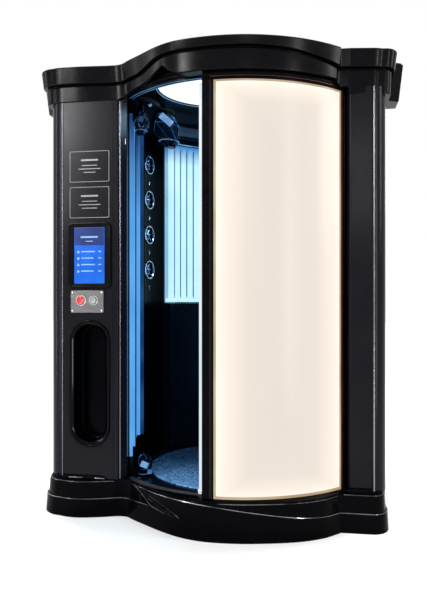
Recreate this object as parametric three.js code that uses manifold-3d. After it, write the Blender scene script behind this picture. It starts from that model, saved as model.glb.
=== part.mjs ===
// Vertical tanning booth: a round lamp cabin in a two-pillar casing with a curved sliding door.
// Millimetres, +Z up. The origin is the cabin's axis on the floor, and -Y is the front.

import * as THREE from 'three';
import { mergeVertices } from 'three/addons/utils/BufferGeometryUtils.js';
import Module from 'manifold-3d';

const wasm = await Module();
wasm.setup();

// Driving dimensions of the whole booth
const HEIGHT = 2340;
const BOW_RADIUS = 752;
const PILLAR_FRONT = 520;
const LEFT_FACE = 308;
const RIGHT_FACE = 103;
const REAR_SPACE = 70;

// Clearances: between touching pieces, and between faceted curves that lie one inside the other
const GAP = 0.4;
const NEST = 2;

// Casing: folded pillar shells with a corner bend and a door return
const SHELL = 6;
const LEFT_CORNER = 75;
const RIGHT_CORNER = 70;
const LEFT_JAMB_SET = 27;
const RIGHT_JAMB_SET = 66;
const BEAD_RADIUS = 10;
const JAMB_DEPTH = 61;
const LEFT_JAMB_RUN = 30;
const RIGHT_JAMB_RUN = 13;
const JAMB_TAIL_DEPTH = 124;
const JAMB_TAIL_RUN = -30;
const LEFT_CREASE = 35;
const RIGHT_CREASE = 4;

// Base: deck, two-tier plinth and the sweeping apron ridge on the bow
const DECK = 30;
const BAND = 30;
const PLINTH_LOWER = 95;
const PLINTH_UPPER = 178;
const PLINTH_TOP = 188;
const PLINTH_OVERHANG = 42;
const PLINTH_RIGHT_OVERHANG = 26;
const PLINTH_TAPER = 7;
const PLINTH_STEP = 14;
const RIDGE_ROUND = 8;

// Crown: two flaring tiers with a groove that arches over the bow
const CROWN_DEPTH = 177;
const UPPER_TIER_DEPTH = 96;
const CROWN_BOTTOM_RISE = 30;
const CROWN_GROOVE_RISE = 45;
const DOOR_ARCH_RISE = 59;
const GROOVE_WIDTH = 8;
const GROOVE_OVERHANG = 20;
const LOWER_TIER_OVERHANG = 28;
const LOWER_TIER_FLARE = 4;
const UPPER_TIER_OVERHANG = 50;
const UPPER_TIER_FLARE = 10;
const CROWN_ROUND = 6;
const SIDE_CROWN_OVERHANG = 105;
const SIDE_CROWN_SETBACK = 165;
const SIDE_CROWN_MITRE = 30;
const SIDE_CROWN_BLOCK = 110;
const SIDE_CROWN_TAPER = 30;
const SIDE_CROWN_BACK_OVERHANG = 45;
const SIDE_CROWN_FLARE = 22;
const SIDE_CROWN_DROP = 4;

// Cabin: floor, walls, ceiling and roof
const CABIN_INSET = 112;
const CABIN_WALL = 10;
const WALL_EDGE_CLEARANCE = 4;
const FLOOR_TOP = 152;
const FLOOR_SHEET = 10;
const FLOOR_SKIRT = 40;
const MAT = 6;
const MAT_MARGIN = 70;
const CEILING_DROP = 44;
const CEILING_SHEET = 6;
const ROOF_SHEET = 6;
const ROOF_RECESS = 8;
const REAR_SHEET = 6;

// Angles round the cabin axis, in degrees from the front; margins are measured from the edge they follow
const REAR_WALL_ANGLE = 123;
const FRAME_FROM_ANGLE = -6.3;
const PANEL_FROM_ANGLE = -2;
const DOORWAY_MARGIN_ANGLE = 2.35;
const TRACK_MARGIN_ANGLE = 1.75;
const PANEL_MARGIN_ANGLE = 2.65;
const STILE_ANGLE = 3.1;
const RIGHT_WALL_MARGIN_ANGLE = 2.75;
const DOOR_OVERLAP_ANGLE = 9.7;
const DOOR_LEAD_ANGLE = 1.2;
const ARC_STEP_ANGLE = 6;
const ARCH_FOOT_ANGLE = -38;
const ARCH_LEFT_ANGLE = -20;
const ARCH_RIGHT_ANGLE = 10;
const DOOR_ARCH_ANGLE = -21.6;
const DOOR_ARCH_FALL_ANGLE = 11;

// Lit front panel and the header over it
const HEADER_DROP = 140;
const PANEL_DROP = 185;
const HEADER_LIP = 11;
const DIFFUSER = 4;
const LIGHTBOX_DEPTH = 44;
const LED_PANEL = 4;

// Sliding door in its curved tracks
const DOOR_INSET = 59;
const DOOR_SHEET = 6;
const TRACK_WIDTH = 20;
const TRACK_WALL = 4;
const TRACK_HEIGHT = 12;
const TRACK_FLOOR = 2;
const DOOR_CLEARANCE = 1;
const DOOR_EDGE_WIDTH = 14;
const DOOR_EDGE_DEPTH = 24;
const GLIDE_HEIGHT = 22;
const GLIDE_WIDTH = 19;
const EDGE_HEADROOM = 24;

// Lamps: tubes ahead of the cabin wall, in banks
const LAMP_RADIUS = 19;
const LAMP_SIDES = 10;
const LAMP_STANDOFF = 28;
const REAR_LAMP_ANGLE = 4.7;
const REAR_LAMPS_PER_MODULE = 8;
const REAR_MODULES = 3;
const REAR_LAMP_DROP = 146;
const SIDE_LAMP_ANGLE = 6.9;
const SIDE_LAMPS = 5;
const SIDE_BANK_ANGLE = 79;
const SIDE_LAMP_RADIUS = 13;
const SIDE_LAMP_STANDOFF = 15;
const SIDE_LAMP_BOTTOM = 262;
const SIDE_LAMP_DROP = 130;
const HOLDER_HEIGHT = 24;
const HOLDER_DEPTH = 26;
const LOWER_PANEL_TOP = 1105;
const LOWER_PANEL_SHEET = 8;
const LOWER_PANEL_STANDOFF = 48;
const LEDGE_CLEARANCE = 7;
const VALANCE_HEIGHT = 50;

// Mist column with ringed ports
const COLUMN_FROM_ANGLE = -118;
const COLUMN_TO_ANGLE = -96.6;
const PORT_ANGLE = -102.6;
const COLUMN_STANDOFF = 42;
const COLUMN_HEADROOM = 130;
const PORT_DROP = 200;
const PORT_PITCH = 218;
const PORTS = 4;
const PORT_RADIUS = 56;
const PORT_FLARE = 2;
const PORT_BORE = 26;
const PORT_PROUD = 8;

// Ceiling light and extractor fan, each set out from the cabin axis
const LIGHT_ANGLE = -18;
const LIGHT_OFFSET = 273;
const LIGHT_MARGIN = 19;
const LIGHT_RING = 18;
const LIGHT_DEPTH = 10;
const FAN_ANGLE = 156;
const FAN_OFFSET = 295;
const FAN_BORE = 105;
const FAN_WALL = 12;
const FAN_BLADES = 5;
const FAN_HUB = 34;
const BLADE_CLEARANCE = 5;
const BLADE_SHEET = 2;
const BLADE_CHORD = 46;
const BLADE_TWIST_ANGLE = 14;

// Controls on the left pillar's face, by height
const BEZEL_WIDTH = 240;
const BEZEL_HEIGHT = 345;
const BEZEL_MIDDLE = 1356;
const BEZEL_CORNER = 26;
const BEZEL_PROUD = 9;
const SCREEN_WIDTH = 165;
const SCREEN_HEIGHT = 294;
const SCREEN_CORNER = 4;
const SCREEN_INSET = 2;
const SCREEN_GLASS = 5;
const PLATE_WIDTH = 180;
const PLATE_HEIGHT = 116;
const PLATE_MIDDLE = 1114;
const PLATE_SHIFT = 12;
const PLATE_PROUD = 6;
const PLATE_CORNER = 6;
const PLATE_LIP = 14;
const BUTTON_SPACING = 68;
const BUTTON_RISE = 6;
const RED_BUTTON = 21;
const GREY_BUTTON = 19;
const BUTTON_PROUD = 11;
const BUTTON_TAIL = 16;
const BUTTON_CLEARANCE = 1;
const CUBBY_WIDTH = 224;
const CUBBY_HEIGHT = 668;
const CUBBY_MIDDLE = 685;
const CUBBY_DEPTH = 120;
const CUBBY_LIP = 14;
const CUBBY_PROUD = 5;
const CUBBY_SHEET = 5;
const CUBBY_FLAT = 6;
const STEP_WIDTH = 222;
const STEP_HEIGHT = 168;
const STEP_MIDDLE = 1822;
const STEP_PITCH = 188;
const STEP_CORNER = 10;
const STEP_PROUD = 3;

// Facial lamps on an arm under the ceiling, and a leg lamp on the floor
const ARM_ANGLE = -73;
const ARM_STANDOFF = 211;
const ARM_DROP = 80;
const ARM_RADIUS = 11;
const ARM_SIDES = 12;
const ARM_PLATE = 38;
const ARM_PLATE_SHEET = 8;
const BIG_HEAD = { width: 176, height: 196, depth: 110 };
const SMALL_HEAD = { width: 90, height: 172, depth: 70 };
const SMALL_HEAD_STANDOFF = 41;
const SMALL_HEAD_MARGIN_ANGLE = 3.8;
const SMALL_HEAD_BANK_MARGIN_ANGLE = 5.6;
const BAR_OVERRUN = 28;
const HEAD_CHAMFER = 20;
const HEAD_CLEARANCE = 3;
const LEG_LAMP = { width: 104, height: 128, depth: 72 };
const LEG_LAMP_STANDOFF = 62;
const LEG_LAMP_ANGLE = -57;

// Machine bay behind the left pillar, and the fittings at the back
const BAY_CLEARANCE = 41;
const TANK_LENGTH = 300;
const TANK_HEIGHT = 430;
const TANK_Y = 150;
const TANK_NECK = 32;
const TANK_CAP = 24;
const PUMP_RADIUS = 62;
const PUMP_LENGTH = 210;
const PUMP_FOOT = 16;
const PUMP_FOOT_LENGTH = 126;
const PUMP_Y = -170;
const CONTROL_BOX_DEPTH = 96;
const CONTROL_BOX_WIDTH = 300;
const CONTROL_BOX_HEIGHT = 420;
const CONTROL_BOX_Y = 420;
const CONTROL_BOX_BOTTOM = 1250;
const SERVICE_DOOR_WIDTH = 492;
const SERVICE_GAP = 3;
const LATCH_RADIUS = 22;
const LATCH_PROUD = 14;
const LATCH_BAR = 11;
const LATCH_INSET = 46;
const INLET_WIDTH = 90;
const INLET_HEIGHT = 70;
const INLET_DEPTH = 16;
const INLET_SET = 230;
const INLET_Z = 300;
const INLET_BORE = 14;

// Sizes and places that follow from the driving dimensions
const FULL_TURN = 360;
const HALF_TURN = 180;
const radians = (angle) => (angle * Math.PI) / HALF_TURN;
const degrees = (angle) => (angle * HALF_TURN) / Math.PI;
const CABIN_RADIUS = BOW_RADIUS - CABIN_INSET;
const DOOR_RADIUS = BOW_RADIUS - DOOR_INSET;
const LOWER_PANEL_RADIUS = CABIN_RADIUS - LOWER_PANEL_STANDOFF;
const COLUMN_RADIUS = CABIN_RADIUS - COLUMN_STANDOFF;
const LIGHT_RADIUS = CABIN_RADIUS - LIGHT_OFFSET - LIGHT_RING - LIGHT_MARGIN;
const wallOuter = CABIN_RADIUS + CABIN_WALL;
const pillarEdge = Math.sqrt(BOW_RADIUS ** 2 - PILLAR_FRONT ** 2);
const pillarAngle = degrees(Math.atan2(pillarEdge, PILLAR_FRONT));
const LEFT_FLAT_END = pillarEdge + LEFT_JAMB_SET;
const RIGHT_FLAT_END = pillarEdge + RIGHT_JAMB_SET;
const LEFT_REACH = LEFT_FLAT_END + LEFT_FACE + LEFT_CORNER;
const RIGHT_REACH = RIGHT_FLAT_END + RIGHT_FACE + RIGHT_CORNER;
const BACK_REACH = wallOuter + REAR_SPACE;
const CONTROL_X = -LEFT_FLAT_END - LEFT_FACE / 2;
const CROWN_BOTTOM = HEIGHT - CROWN_DEPTH;
const CROWN_GROOVE = HEIGHT - UPPER_TIER_DEPTH;
const CEILING = HEIGHT - CEILING_DROP;
const HEADER_BOTTOM = HEIGHT - HEADER_DROP;
const PANEL_TOP = HEIGHT - PANEL_DROP;
const REAR_LAMP_TOP = CEILING - REAR_LAMP_DROP;
const REAR_LAMP_BOTTOM = LOWER_PANEL_TOP + LEDGE_CLEARANCE;
const SIDE_LAMP_TOP = CEILING - SIDE_LAMP_DROP;
const COLUMN_TOP = CEILING - COLUMN_HEADROOM;
const PORT_TOP = COLUMN_TOP - PORT_DROP;
const DOORWAY_FROM = -pillarAngle - DOORWAY_MARGIN_ANGLE;
const DOORWAY_TO = pillarAngle + TRACK_MARGIN_ANGLE;
const PANEL_TO = pillarAngle + PANEL_MARGIN_ANGLE;
const FRAME_TO = PANEL_TO + STILE_ANGLE;
const JAMB_TAIL_X = -LEFT_FLAT_END + LEFT_JAMB_RUN + JAMB_TAIL_RUN;
const JAMB_TAIL_Y = -PILLAR_FRONT + JAMB_DEPTH + JAMB_TAIL_DEPTH;
const tailAngle = degrees(Math.atan2(JAMB_TAIL_X, -JAMB_TAIL_Y));
const LEFT_WALL_TO = tailAngle - degrees(WALL_EDGE_CLEARANCE / CABIN_RADIUS);
const SIDE_BANK_FROM = -SIDE_BANK_ANGLE + SIDE_LAMPS * SIDE_LAMP_ANGLE / 2;
const RIGHT_WALL_FROM = pillarAngle + RIGHT_WALL_MARGIN_ANGLE;
const LEAF_FROM = FRAME_FROM_ANGLE - DOOR_LEAD_ANGLE;
const LEAF_TO = LEAF_FROM + (FRAME_FROM_ANGLE - DOORWAY_FROM) + DOOR_OVERLAP_ANGLE;

// Colours and finish of each kind of material
const FINISHES = {
  shell: { color: 0x2a2a2f, roughness: 0.45, metalness: 0.1 },
  gloss_black: { color: 0x0c0c0e, roughness: 0.16, metalness: 0.0 },
  trim: { color: 0x17171a, roughness: 0.3, metalness: 0.2 },
  liner: { color: 0x1d2632, roughness: 0.25, metalness: 0.4 },
  reflector: { color: 0xbfd4e6, roughness: 0.12, metalness: 1.0 },
  lamp: { color: 0xc9f4ff, roughness: 0.2, metalness: 0.0 },
  opal: { color: 0xf6ede2, roughness: 0.35, metalness: 0.0 },
  steel: { color: 0xb9bbbd, roughness: 0.3, metalness: 1.0 },
  acrylic: { color: 0xcfe3ee, roughness: 0.08, metalness: 0.0 },
  edge_white: { color: 0xf2f6f8, roughness: 0.3, metalness: 0.0 },
  screen: { color: 0x1f5fe0, roughness: 0.1, metalness: 0.0 },
  red: { color: 0xd0231f, roughness: 0.3, metalness: 0.0 },
  grey: { color: 0x8d9094, roughness: 0.35, metalness: 0.2 },
  mat: { color: 0x1b2a3c, roughness: 0.7, metalness: 0.0 },
  deck: { color: 0x4a4640, roughness: 0.8, metalness: 0.0 },
  tank: { color: 0xe4e6e2, roughness: 0.4, metalness: 0.0 },
};

const booth = new THREE.Group();

// Adds one named piece to the booth, or to a group inside it
function piece(name, geometry, finish, parent = booth) {
  const mesh = new THREE.Mesh(geometry, new THREE.MeshStandardMaterial(FINISHES[finish]));
  mesh.name = name;
  parent.add(mesh);
  return mesh;
}

// A closed mesh with its faces turned outwards
function closedGeometry(positions, triangles) {
  let volume = 0;
  const corner = (index) => new THREE.Vector3(...positions[index]);
  for (const [a, b, c] of triangles) {
    volume += corner(a).dot(corner(b).cross(corner(c)));
  }
  const outward = volume < 0 ? triangles.map(([a, b, c]) => [a, c, b]) : triangles;
  const geometry = new THREE.BufferGeometry();
  geometry.setAttribute('position', new THREE.Float32BufferAttribute(positions.flat(), 3));
  geometry.setIndex(outward.flat());
  return geometry;
}

// Sweeps a closed section of [offset, height] points along stations with outward normals
function sweep(stations, sectionAt) {
  const positions = [];
  const triangles = [];
  const first = sectionAt(stations[0]);
  const count = first.length;
  for (const station of stations) {
    for (const [offset, z] of sectionAt(station)) {
      positions.push([station.x + station.nx * offset, station.y + station.ny * offset, z]);
    }
  }
  for (let i = 0; i + 1 < stations.length; i += 1) {
    for (let j = 0; j < count; j += 1) {
      const a = i * count + j;
      const b = i * count + ((j + 1) % count);
      triangles.push([a, b, a + count], [b, b + count, a + count]);
    }
  }
  const contour = first.map(([offset, z]) => new THREE.Vector2(offset, z));
  const cap = THREE.ShapeUtils.triangulateShape(contour, []);
  const last = (stations.length - 1) * count;
  const along = THREE.ShapeUtils.isClockWise(contour) ? ([a, b, c]) => [a, c, b] : (face) => face;
  for (const face of cap) {
    const [a, b, c] = along(face);
    triangles.push([a, c, b], [a + last, b + last, c + last]);
  }
  return closedGeometry(positions, triangles);
}

const polar = (radius, angle) => [radius * Math.sin(radians(angle)), -radius * Math.cos(radians(angle))];
const steps = (from, to) => Math.max(1, Math.ceil(Math.abs(to - from) / ARC_STEP_ANGLE));

// Stations on an arc about the cabin axis, whose offsets are radii
function arcStations(from, to) {
  const count = steps(from, to);
  return Array.from({ length: count + 1 }, (_, i) => {
    const angle = from + ((to - from) * i) / count;
    const [nx, ny] = polar(1, angle);
    return { x: 0, y: 0, nx, ny, angle };
  });
}

const rectangle = (inner, outer, bottom, top) => [
  [inner, bottom], [outer, bottom], [outer, top], [inner, top],
];

// A curved wall or rail about the cabin axis with a rectangular section
function sector(inner, outer, from, to, bottom, top) {
  return sweep(arcStations(from, to), () => rectangle(inner, outer, bottom, top));
}

// Stations along a path of corners, each rounded by its radius, with the outside on the right
function pathStations(corners) {
  const stations = [];
  const direction = (a, b) => new THREE.Vector2(b.x - a.x, b.y - a.y).normalize();
  const add = (x, y, angle) => stations.push({ x, y, nx: Math.cos(angle), ny: Math.sin(angle) });
  const outside = (d) => Math.atan2(-d.x, d.y);
  add(corners[0].x, corners[0].y, outside(direction(corners[0], corners[1])));
  for (let i = 1; i + 1 < corners.length; i += 1) {
    const into = direction(corners[i - 1], corners[i]);
    const out = direction(corners[i], corners[i + 1]);
    const turn = Math.atan2(into.cross(out), into.dot(out));
    const side = Math.sign(turn);
    const reach = corners[i].radius * Math.tan(Math.abs(turn) / 2);
    const from = outside(into);
    const startX = corners[i].x - into.x * reach;
    const startY = corners[i].y - into.y * reach;
    const centreX = startX - side * corners[i].radius * Math.cos(from);
    const centreY = startY - side * corners[i].radius * Math.sin(from);
    const count = steps(0, degrees(turn) / 2);
    for (let k = 0; k <= count; k += 1) {
      const angle = from + (turn * k) / count;
      const radius = side * corners[i].radius;
      add(centreX + radius * Math.cos(angle), centreY + radius * Math.sin(angle), angle);
    }
  }
  const end = corners.length - 1;
  add(corners[end].x, corners[end].y, outside(direction(corners[end - 1], corners[end])));
  return stations;
}

// Concave fillet between a pillar's front plane and the bow, on the side given by its sign
function bowFillet(radius, sign) {
  const centreY = -(PILLAR_FRONT + radius);
  const centreX = sign * Math.sqrt((BOW_RADIUS + radius) ** 2 - centreY ** 2);
  const bowAngle = degrees(Math.atan2(centreX, -centreY));
  const count = steps(0, bowAngle);
  const stations = Array.from({ length: count + 1 }, (_, i) => {
    const [nx, ny] = polar(1, (bowAngle * i) / count);
    return { x: centreX - radius * nx, y: centreY - radius * ny, nx, ny, share: i / count };
  });
  return { stations, bowAngle };
}

// Each crease keeps its own radius at the widest overhang, so the bands stay parallel to the casing
const widestOverhang = Math.max(UPPER_TIER_OVERHANG + UPPER_TIER_FLARE, PLINTH_OVERHANG);
const leftFillet = bowFillet(widestOverhang + LEFT_CREASE, -1);
const rightFillet = bowFillet(widestOverhang + RIGHT_CREASE, 1);
const seam = degrees(GAP / CABIN_RADIUS);

// Plan of the plinth and crown: a band down each side and round its pillar, and the bow between
function leftBand(back) {
  const side = pathStations([
    { x: -LEFT_REACH, y: back },
    { x: -LEFT_REACH, y: -PILLAR_FRONT, radius: LEFT_CORNER },
    { x: leftFillet.stations[0].x - GAP, y: -PILLAR_FRONT },
  ]);
  return [...side, ...leftFillet.stations];
}

function rightBand(back) {
  const side = pathStations([
    { x: rightFillet.stations[0].x + GAP, y: -PILLAR_FRONT },
    { x: RIGHT_REACH, y: -PILLAR_FRONT, radius: RIGHT_CORNER },
    { x: RIGHT_REACH, y: back },
  ]);
  return [...[...rightFillet.stations].reverse(), ...side];
}

// Stations of the bow, passing through each of the angles given
function bowThrough(...angles) {
  const arcs = angles.slice(1).flatMap((to, i) => arcStations(angles[i], to).slice(1));
  const arc = [...arcStations(angles[0], angles[1]).slice(0, 1), ...arcs];
  return arc.map((s) => ({ ...s, x: BOW_RADIUS * s.nx, y: BOW_RADIUS * s.ny }));
}

const bowFrom = leftFillet.bowAngle + seam;
const bowTo = rightFillet.bowAngle - seam;
const archEnd = DOOR_ARCH_ANGLE + DOOR_ARCH_FALL_ANGLE;
const bowStations = bowThrough(bowFrom, DOOR_ARCH_ANGLE, archEnd, bowTo);

// Solid from a closed outline in plan
function slab(outline, bottom, top, holes = []) {
  const shape = new THREE.Shape(outline.map(([x, y]) => new THREE.Vector2(x, y)));
  shape.holes = holes;
  const geometry = new THREE.ExtrudeGeometry(shape, { depth: top - bottom, bevelEnabled: false });
  return geometry.translate(0, 0, bottom);
}

function roundHole(x, y, radius) {
  const hole = new THREE.Path();
  hole.absarc(x, y, radius, 0, 2 * Math.PI, true);
  return hole;
}

// Rounded rectangle about a centre, as a shape in the plane of the pillar's face
function roundedShape(width, height, radius) {
  const x = width / 2;
  const y = height / 2;
  const shape = new THREE.Shape();
  shape.moveTo(-x + radius, -y);
  shape.lineTo(x - radius, -y);
  shape.absarc(x - radius, -y + radius, radius, -Math.PI / 2, 0, false);
  shape.lineTo(x, y - radius);
  shape.absarc(x - radius, y - radius, radius, 0, Math.PI / 2, false);
  shape.lineTo(-x + radius, y);
  shape.absarc(-x + radius, y - radius, radius, Math.PI / 2, Math.PI, false);
  shape.lineTo(-x, -y + radius);
  shape.absarc(-x + radius, -y + radius, radius, Math.PI, 1.5 * Math.PI, false);
  return shape;
}

// Plate standing on the pillar's front plane: front and back are depths ahead of that plane
function facePlate(shape, x, z, back, front) {
  const settings = { depth: front - back, bevelEnabled: false, curveSegments: 5 };
  const geometry = new THREE.ExtrudeGeometry(shape, settings);
  geometry.rotateX(Math.PI / 2);
  return geometry.translate(x, -PILLAR_FRONT - back, z);
}

function block(width, depth, height, x, y, bottom) {
  return new THREE.BoxGeometry(width, depth, height).translate(x, y, bottom + height / 2);
}

// Booleans on closed meshes
function solid(geometry) {
  const bare = geometry.clone();
  bare.deleteAttribute('normal');
  bare.deleteAttribute('uv');
  const merged = mergeVertices(bare, 1e-3);
  return new wasm.Manifold(new wasm.Mesh({
    numProp: 3,
    vertProperties: new Float32Array(merged.attributes.position.array),
    triVerts: new Uint32Array(merged.index.array),
  }));
}

function shaped(manifold) {
  const mesh = manifold.getMesh();
  const geometry = new THREE.BufferGeometry();
  geometry.setAttribute('position', new THREE.BufferAttribute(mesh.vertProperties, 3));
  geometry.setIndex(new THREE.BufferAttribute(mesh.triVerts, 1));
  return geometry;
}

const cut = (body, ...tools) => shaped(tools.reduce((left, t) => left.subtract(solid(t)), solid(body)));
const join = (body, ...more) => shaped(more.reduce((sum, m) => sum.add(solid(m)), solid(body)));

// Upright round bar
function post(radius, bottom, top, x, y, sides = LAMP_SIDES) {
  const geometry = new THREE.CylinderGeometry(radius, radius, top - bottom, sides);
  return geometry.rotateX(Math.PI / 2).translate(x, y, (bottom + top) / 2);
}

// Ring or disc about an upright axis
function turned(profile, x, y, sides) {
  const points = profile.map(([radius, z]) => new THREE.Vector2(radius, z));
  points.push(points[0].clone());
  return new THREE.LatheGeometry(points, sides).rotateX(Math.PI / 2).translate(x, y, 0);
}

// Inner outline of the plan, set in from the casing by a distance
function innerOutline(inset) {
  const left = leftBand(BACK_REACH - inset);
  const right = rightBand(BACK_REACH - inset);
  const stations = [...left, ...bowStations, ...right];
  return stations.map((s) => [s.x - s.nx * inset, s.y - s.ny * inset]);
}

// Base deck, which everything stands on
piece('base_deck', slab(innerOutline(BAND + GAP), 0, DECK), 'deck');

// Two-tier plinth section with a rounded ridge and a sloping top
function plinthSection(lower, ridge, topEdge) {
  const upper = lower - PLINTH_STEP;
  return [
    [-BAND, 0],
    [lower, 0],
    [lower - PLINTH_TAPER, ridge - RIDGE_ROUND],
    [lower - PLINTH_TAPER - RIDGE_ROUND / 2, ridge],
    [upper - RIDGE_ROUND / 2, ridge + RIDGE_ROUND / 4],
    [upper - PLINTH_TAPER, topEdge],
    [upper - PLINTH_STEP, topEdge + RIDGE_ROUND / 2],
    [0, PLINTH_TOP],
    [-BAND, PLINTH_TOP],
  ];
}

// The apron ridge climbs from the lower tier on the right to the upper edge on the left
function apronRidge(angle) {
  const across = (angle - rightFillet.bowAngle) / (leftFillet.bowAngle - rightFillet.bowAngle);
  const climb = across * across * (3 - 2 * across);
  const highest = PLINTH_UPPER - 2 * RIDGE_ROUND;
  return PLINTH_LOWER + (highest - PLINTH_LOWER) * climb;
}

// The plinth steps out less along the right side than it does in front
function rightPlinth({ nx }) {
  const overhang = PLINTH_OVERHANG + (PLINTH_RIGHT_OVERHANG - PLINTH_OVERHANG) * Math.max(0, nx);
  return plinthSection(overhang, PLINTH_LOWER, PLINTH_UPPER);
}

const leftPlinth = () => plinthSection(PLINTH_OVERHANG, PLINTH_LOWER, PLINTH_UPPER);
const bowPlinth = ({ angle }) => plinthSection(PLINTH_OVERHANG, apronRidge(angle), PLINTH_UPPER);
piece('base_left', sweep(leftBand(BACK_REACH), leftPlinth), 'gloss_black');
piece('base_right', sweep(rightBand(BACK_REACH), rightPlinth), 'gloss_black');
piece('base_bow', sweep(bowStations, bowPlinth), 'gloss_black');

// Cabin floor: an inverted pan on the deck, a mat in it and the door sill ahead of it
const floorRadius = LOWER_PANEL_RADIUS - NEST;
const skirtRadius = floorRadius - FLOOR_SKIRT;
piece('floor_pan', turned([
  [0, FLOOR_TOP - FLOOR_SHEET],
  [skirtRadius - FLOOR_SHEET, FLOOR_TOP - FLOOR_SHEET],
  [skirtRadius - FLOOR_SHEET, DECK + GAP],
  [skirtRadius, DECK + GAP],
  [skirtRadius, FLOOR_TOP - FLOOR_SHEET],
  [floorRadius, FLOOR_TOP - FLOOR_SHEET],
  [floorRadius, FLOOR_TOP],
  [0, FLOOR_TOP],
], 0, 0, 48), 'liner');
const matRadius = floorRadius - MAT_MARGIN;
piece('floor_mat', turned([
  [0, FLOOR_TOP + GAP], [matRadius, FLOOR_TOP + GAP],
  [matRadius - MAT / 2, FLOOR_TOP + GAP + MAT], [0, FLOOR_TOP + GAP + MAT],
], 0, 0, 36), 'mat');
const sillInner = LOWER_PANEL_RADIUS + NEST;
const sillOuter = BOW_RADIUS - BAND - NEST;
const sillTop = PLINTH_TOP - TRACK_HEIGHT;
piece('threshold_sill', sweep(arcStations(DOORWAY_FROM, DOORWAY_TO), () => [
  [sillInner, DECK + GAP], [sillOuter, DECK + GAP], [sillOuter, sillTop],
  [DOOR_RADIUS - TRACK_WIDTH, sillTop], [sillInner, FLOOR_TOP],
]), 'trim');

// Pillar shells: back edge, side, bent corner, front face and door return
const shellBottom = PLINTH_TOP + GAP;
const shellTop = CROWN_BOTTOM - GAP;
const shellSection = () => rectangle(-SHELL, 0, shellBottom, shellTop);
const leftShell = sweep(pathStations([
  { x: -LEFT_REACH, y: BACK_REACH },
  { x: -LEFT_REACH, y: -PILLAR_FRONT, radius: LEFT_CORNER },
  { x: -LEFT_FLAT_END, y: -PILLAR_FRONT, radius: BEAD_RADIUS },
  { x: -LEFT_FLAT_END + LEFT_JAMB_RUN, y: -PILLAR_FRONT + JAMB_DEPTH, radius: BEAD_RADIUS },
  { x: JAMB_TAIL_X, y: JAMB_TAIL_Y },
]), shellSection);
// Cubby outline with nearly round ends, drawn in from its lip by a distance
const cubbyShape = (inset) => roundedShape(
  CUBBY_WIDTH - 2 * inset, CUBBY_HEIGHT - 2 * inset, CUBBY_WIDTH / 2 - inset - CUBBY_FLAT / 2,
);
const plateX = CONTROL_X - PLATE_SHIFT;
const plateShape = (inset) => roundedShape(PLATE_WIDTH - 2 * inset, PLATE_HEIGHT - 2 * inset, PLATE_CORNER);
const throughShell = 2 * SHELL;
piece('left_pillar_shell', cut(
  leftShell,
  facePlate(cubbyShape(CUBBY_LIP), CONTROL_X, CUBBY_MIDDLE, -throughShell, throughShell),
  facePlate(plateShape(PLATE_LIP), plateX, PLATE_MIDDLE, -throughShell, throughShell),
), 'shell');
piece('right_pillar_shell', sweep(pathStations([
  { x: RIGHT_FLAT_END - RIGHT_JAMB_RUN, y: -PILLAR_FRONT + JAMB_DEPTH },
  { x: RIGHT_FLAT_END, y: -PILLAR_FRONT, radius: BEAD_RADIUS },
  { x: RIGHT_REACH, y: -PILLAR_FRONT, radius: RIGHT_CORNER },
  { x: RIGHT_REACH, y: BACK_REACH },
]), shellSection), 'shell');

// Rear panel, the hinged service door beside it, its latch and the mains inlet
const rearLeft = -LEFT_REACH + BAND + GAP;
const rearRight = RIGHT_REACH - BAND - GAP;
const roofBottom = HEIGHT - ROOF_RECESS - ROOF_SHEET;
const rearBottom = DECK + GAP;
const rearHeight = roofBottom - GAP - rearBottom;
const serviceRight = rearLeft + GAP + SERVICE_DOOR_WIDTH;
const rearSheet = (from, to) => block(
  to - from, REAR_SHEET, rearHeight, (from + to) / 2, BACK_REACH - REAR_SHEET / 2, rearBottom,
);
piece('rear_panel', rearSheet(serviceRight + SERVICE_GAP, rearRight), 'shell');
piece('service_door', rearSheet(rearLeft + GAP, serviceRight), 'shell');
const latchHeight = rearBottom + rearHeight / 2;
const latchBar = new THREE.BoxGeometry(LATCH_BAR, LATCH_PROUD, 2 * LATCH_RADIUS - LATCH_BAR);
const latchDisc = new THREE.CylinderGeometry(LATCH_RADIUS, LATCH_RADIUS, LATCH_PROUD, 16);
const latch = piece('service_latch', join(
  latchDisc, latchBar.translate(0, LATCH_PROUD / 2, 0),
), 'steel');
latch.position.set(
  serviceRight - LATCH_INSET, BACK_REACH + GAP + LATCH_PROUD / 2, latchHeight,
);
const inletBore = new THREE.CylinderGeometry(INLET_BORE, INLET_BORE, INLET_DEPTH, 16);
const inlet = piece('mains_inlet', cut(
  new THREE.BoxGeometry(INLET_WIDTH, INLET_DEPTH, INLET_HEIGHT),
  inletBore.translate(0, INLET_DEPTH / 2, 0),
), 'trim');
inlet.position.set(RIGHT_REACH - INLET_SET, BACK_REACH + GAP + INLET_DEPTH / 2, INLET_Z);

// Cabin walls, which stand on the deck
const wallBottom = DECK + GAP;
const wallTop = CEILING - GAP;
const wall = (from, to, bottom, top) => sector(CABIN_RADIUS, wallOuter, from, to, bottom, top);
piece('wall_left', wall(-REAR_WALL_ANGLE, LEFT_WALL_TO, wallBottom, wallTop), 'liner');
piece('wall_right', wall(RIGHT_WALL_FROM, REAR_WALL_ANGLE, wallBottom, wallTop), 'liner');
const rearFrom = REAR_WALL_ANGLE + seam;
const rearTo = FULL_TURN - rearFrom;
piece('rear_reflector', wall(rearFrom, rearTo, LOWER_PANEL_TOP + GAP, wallTop), 'reflector');

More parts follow.
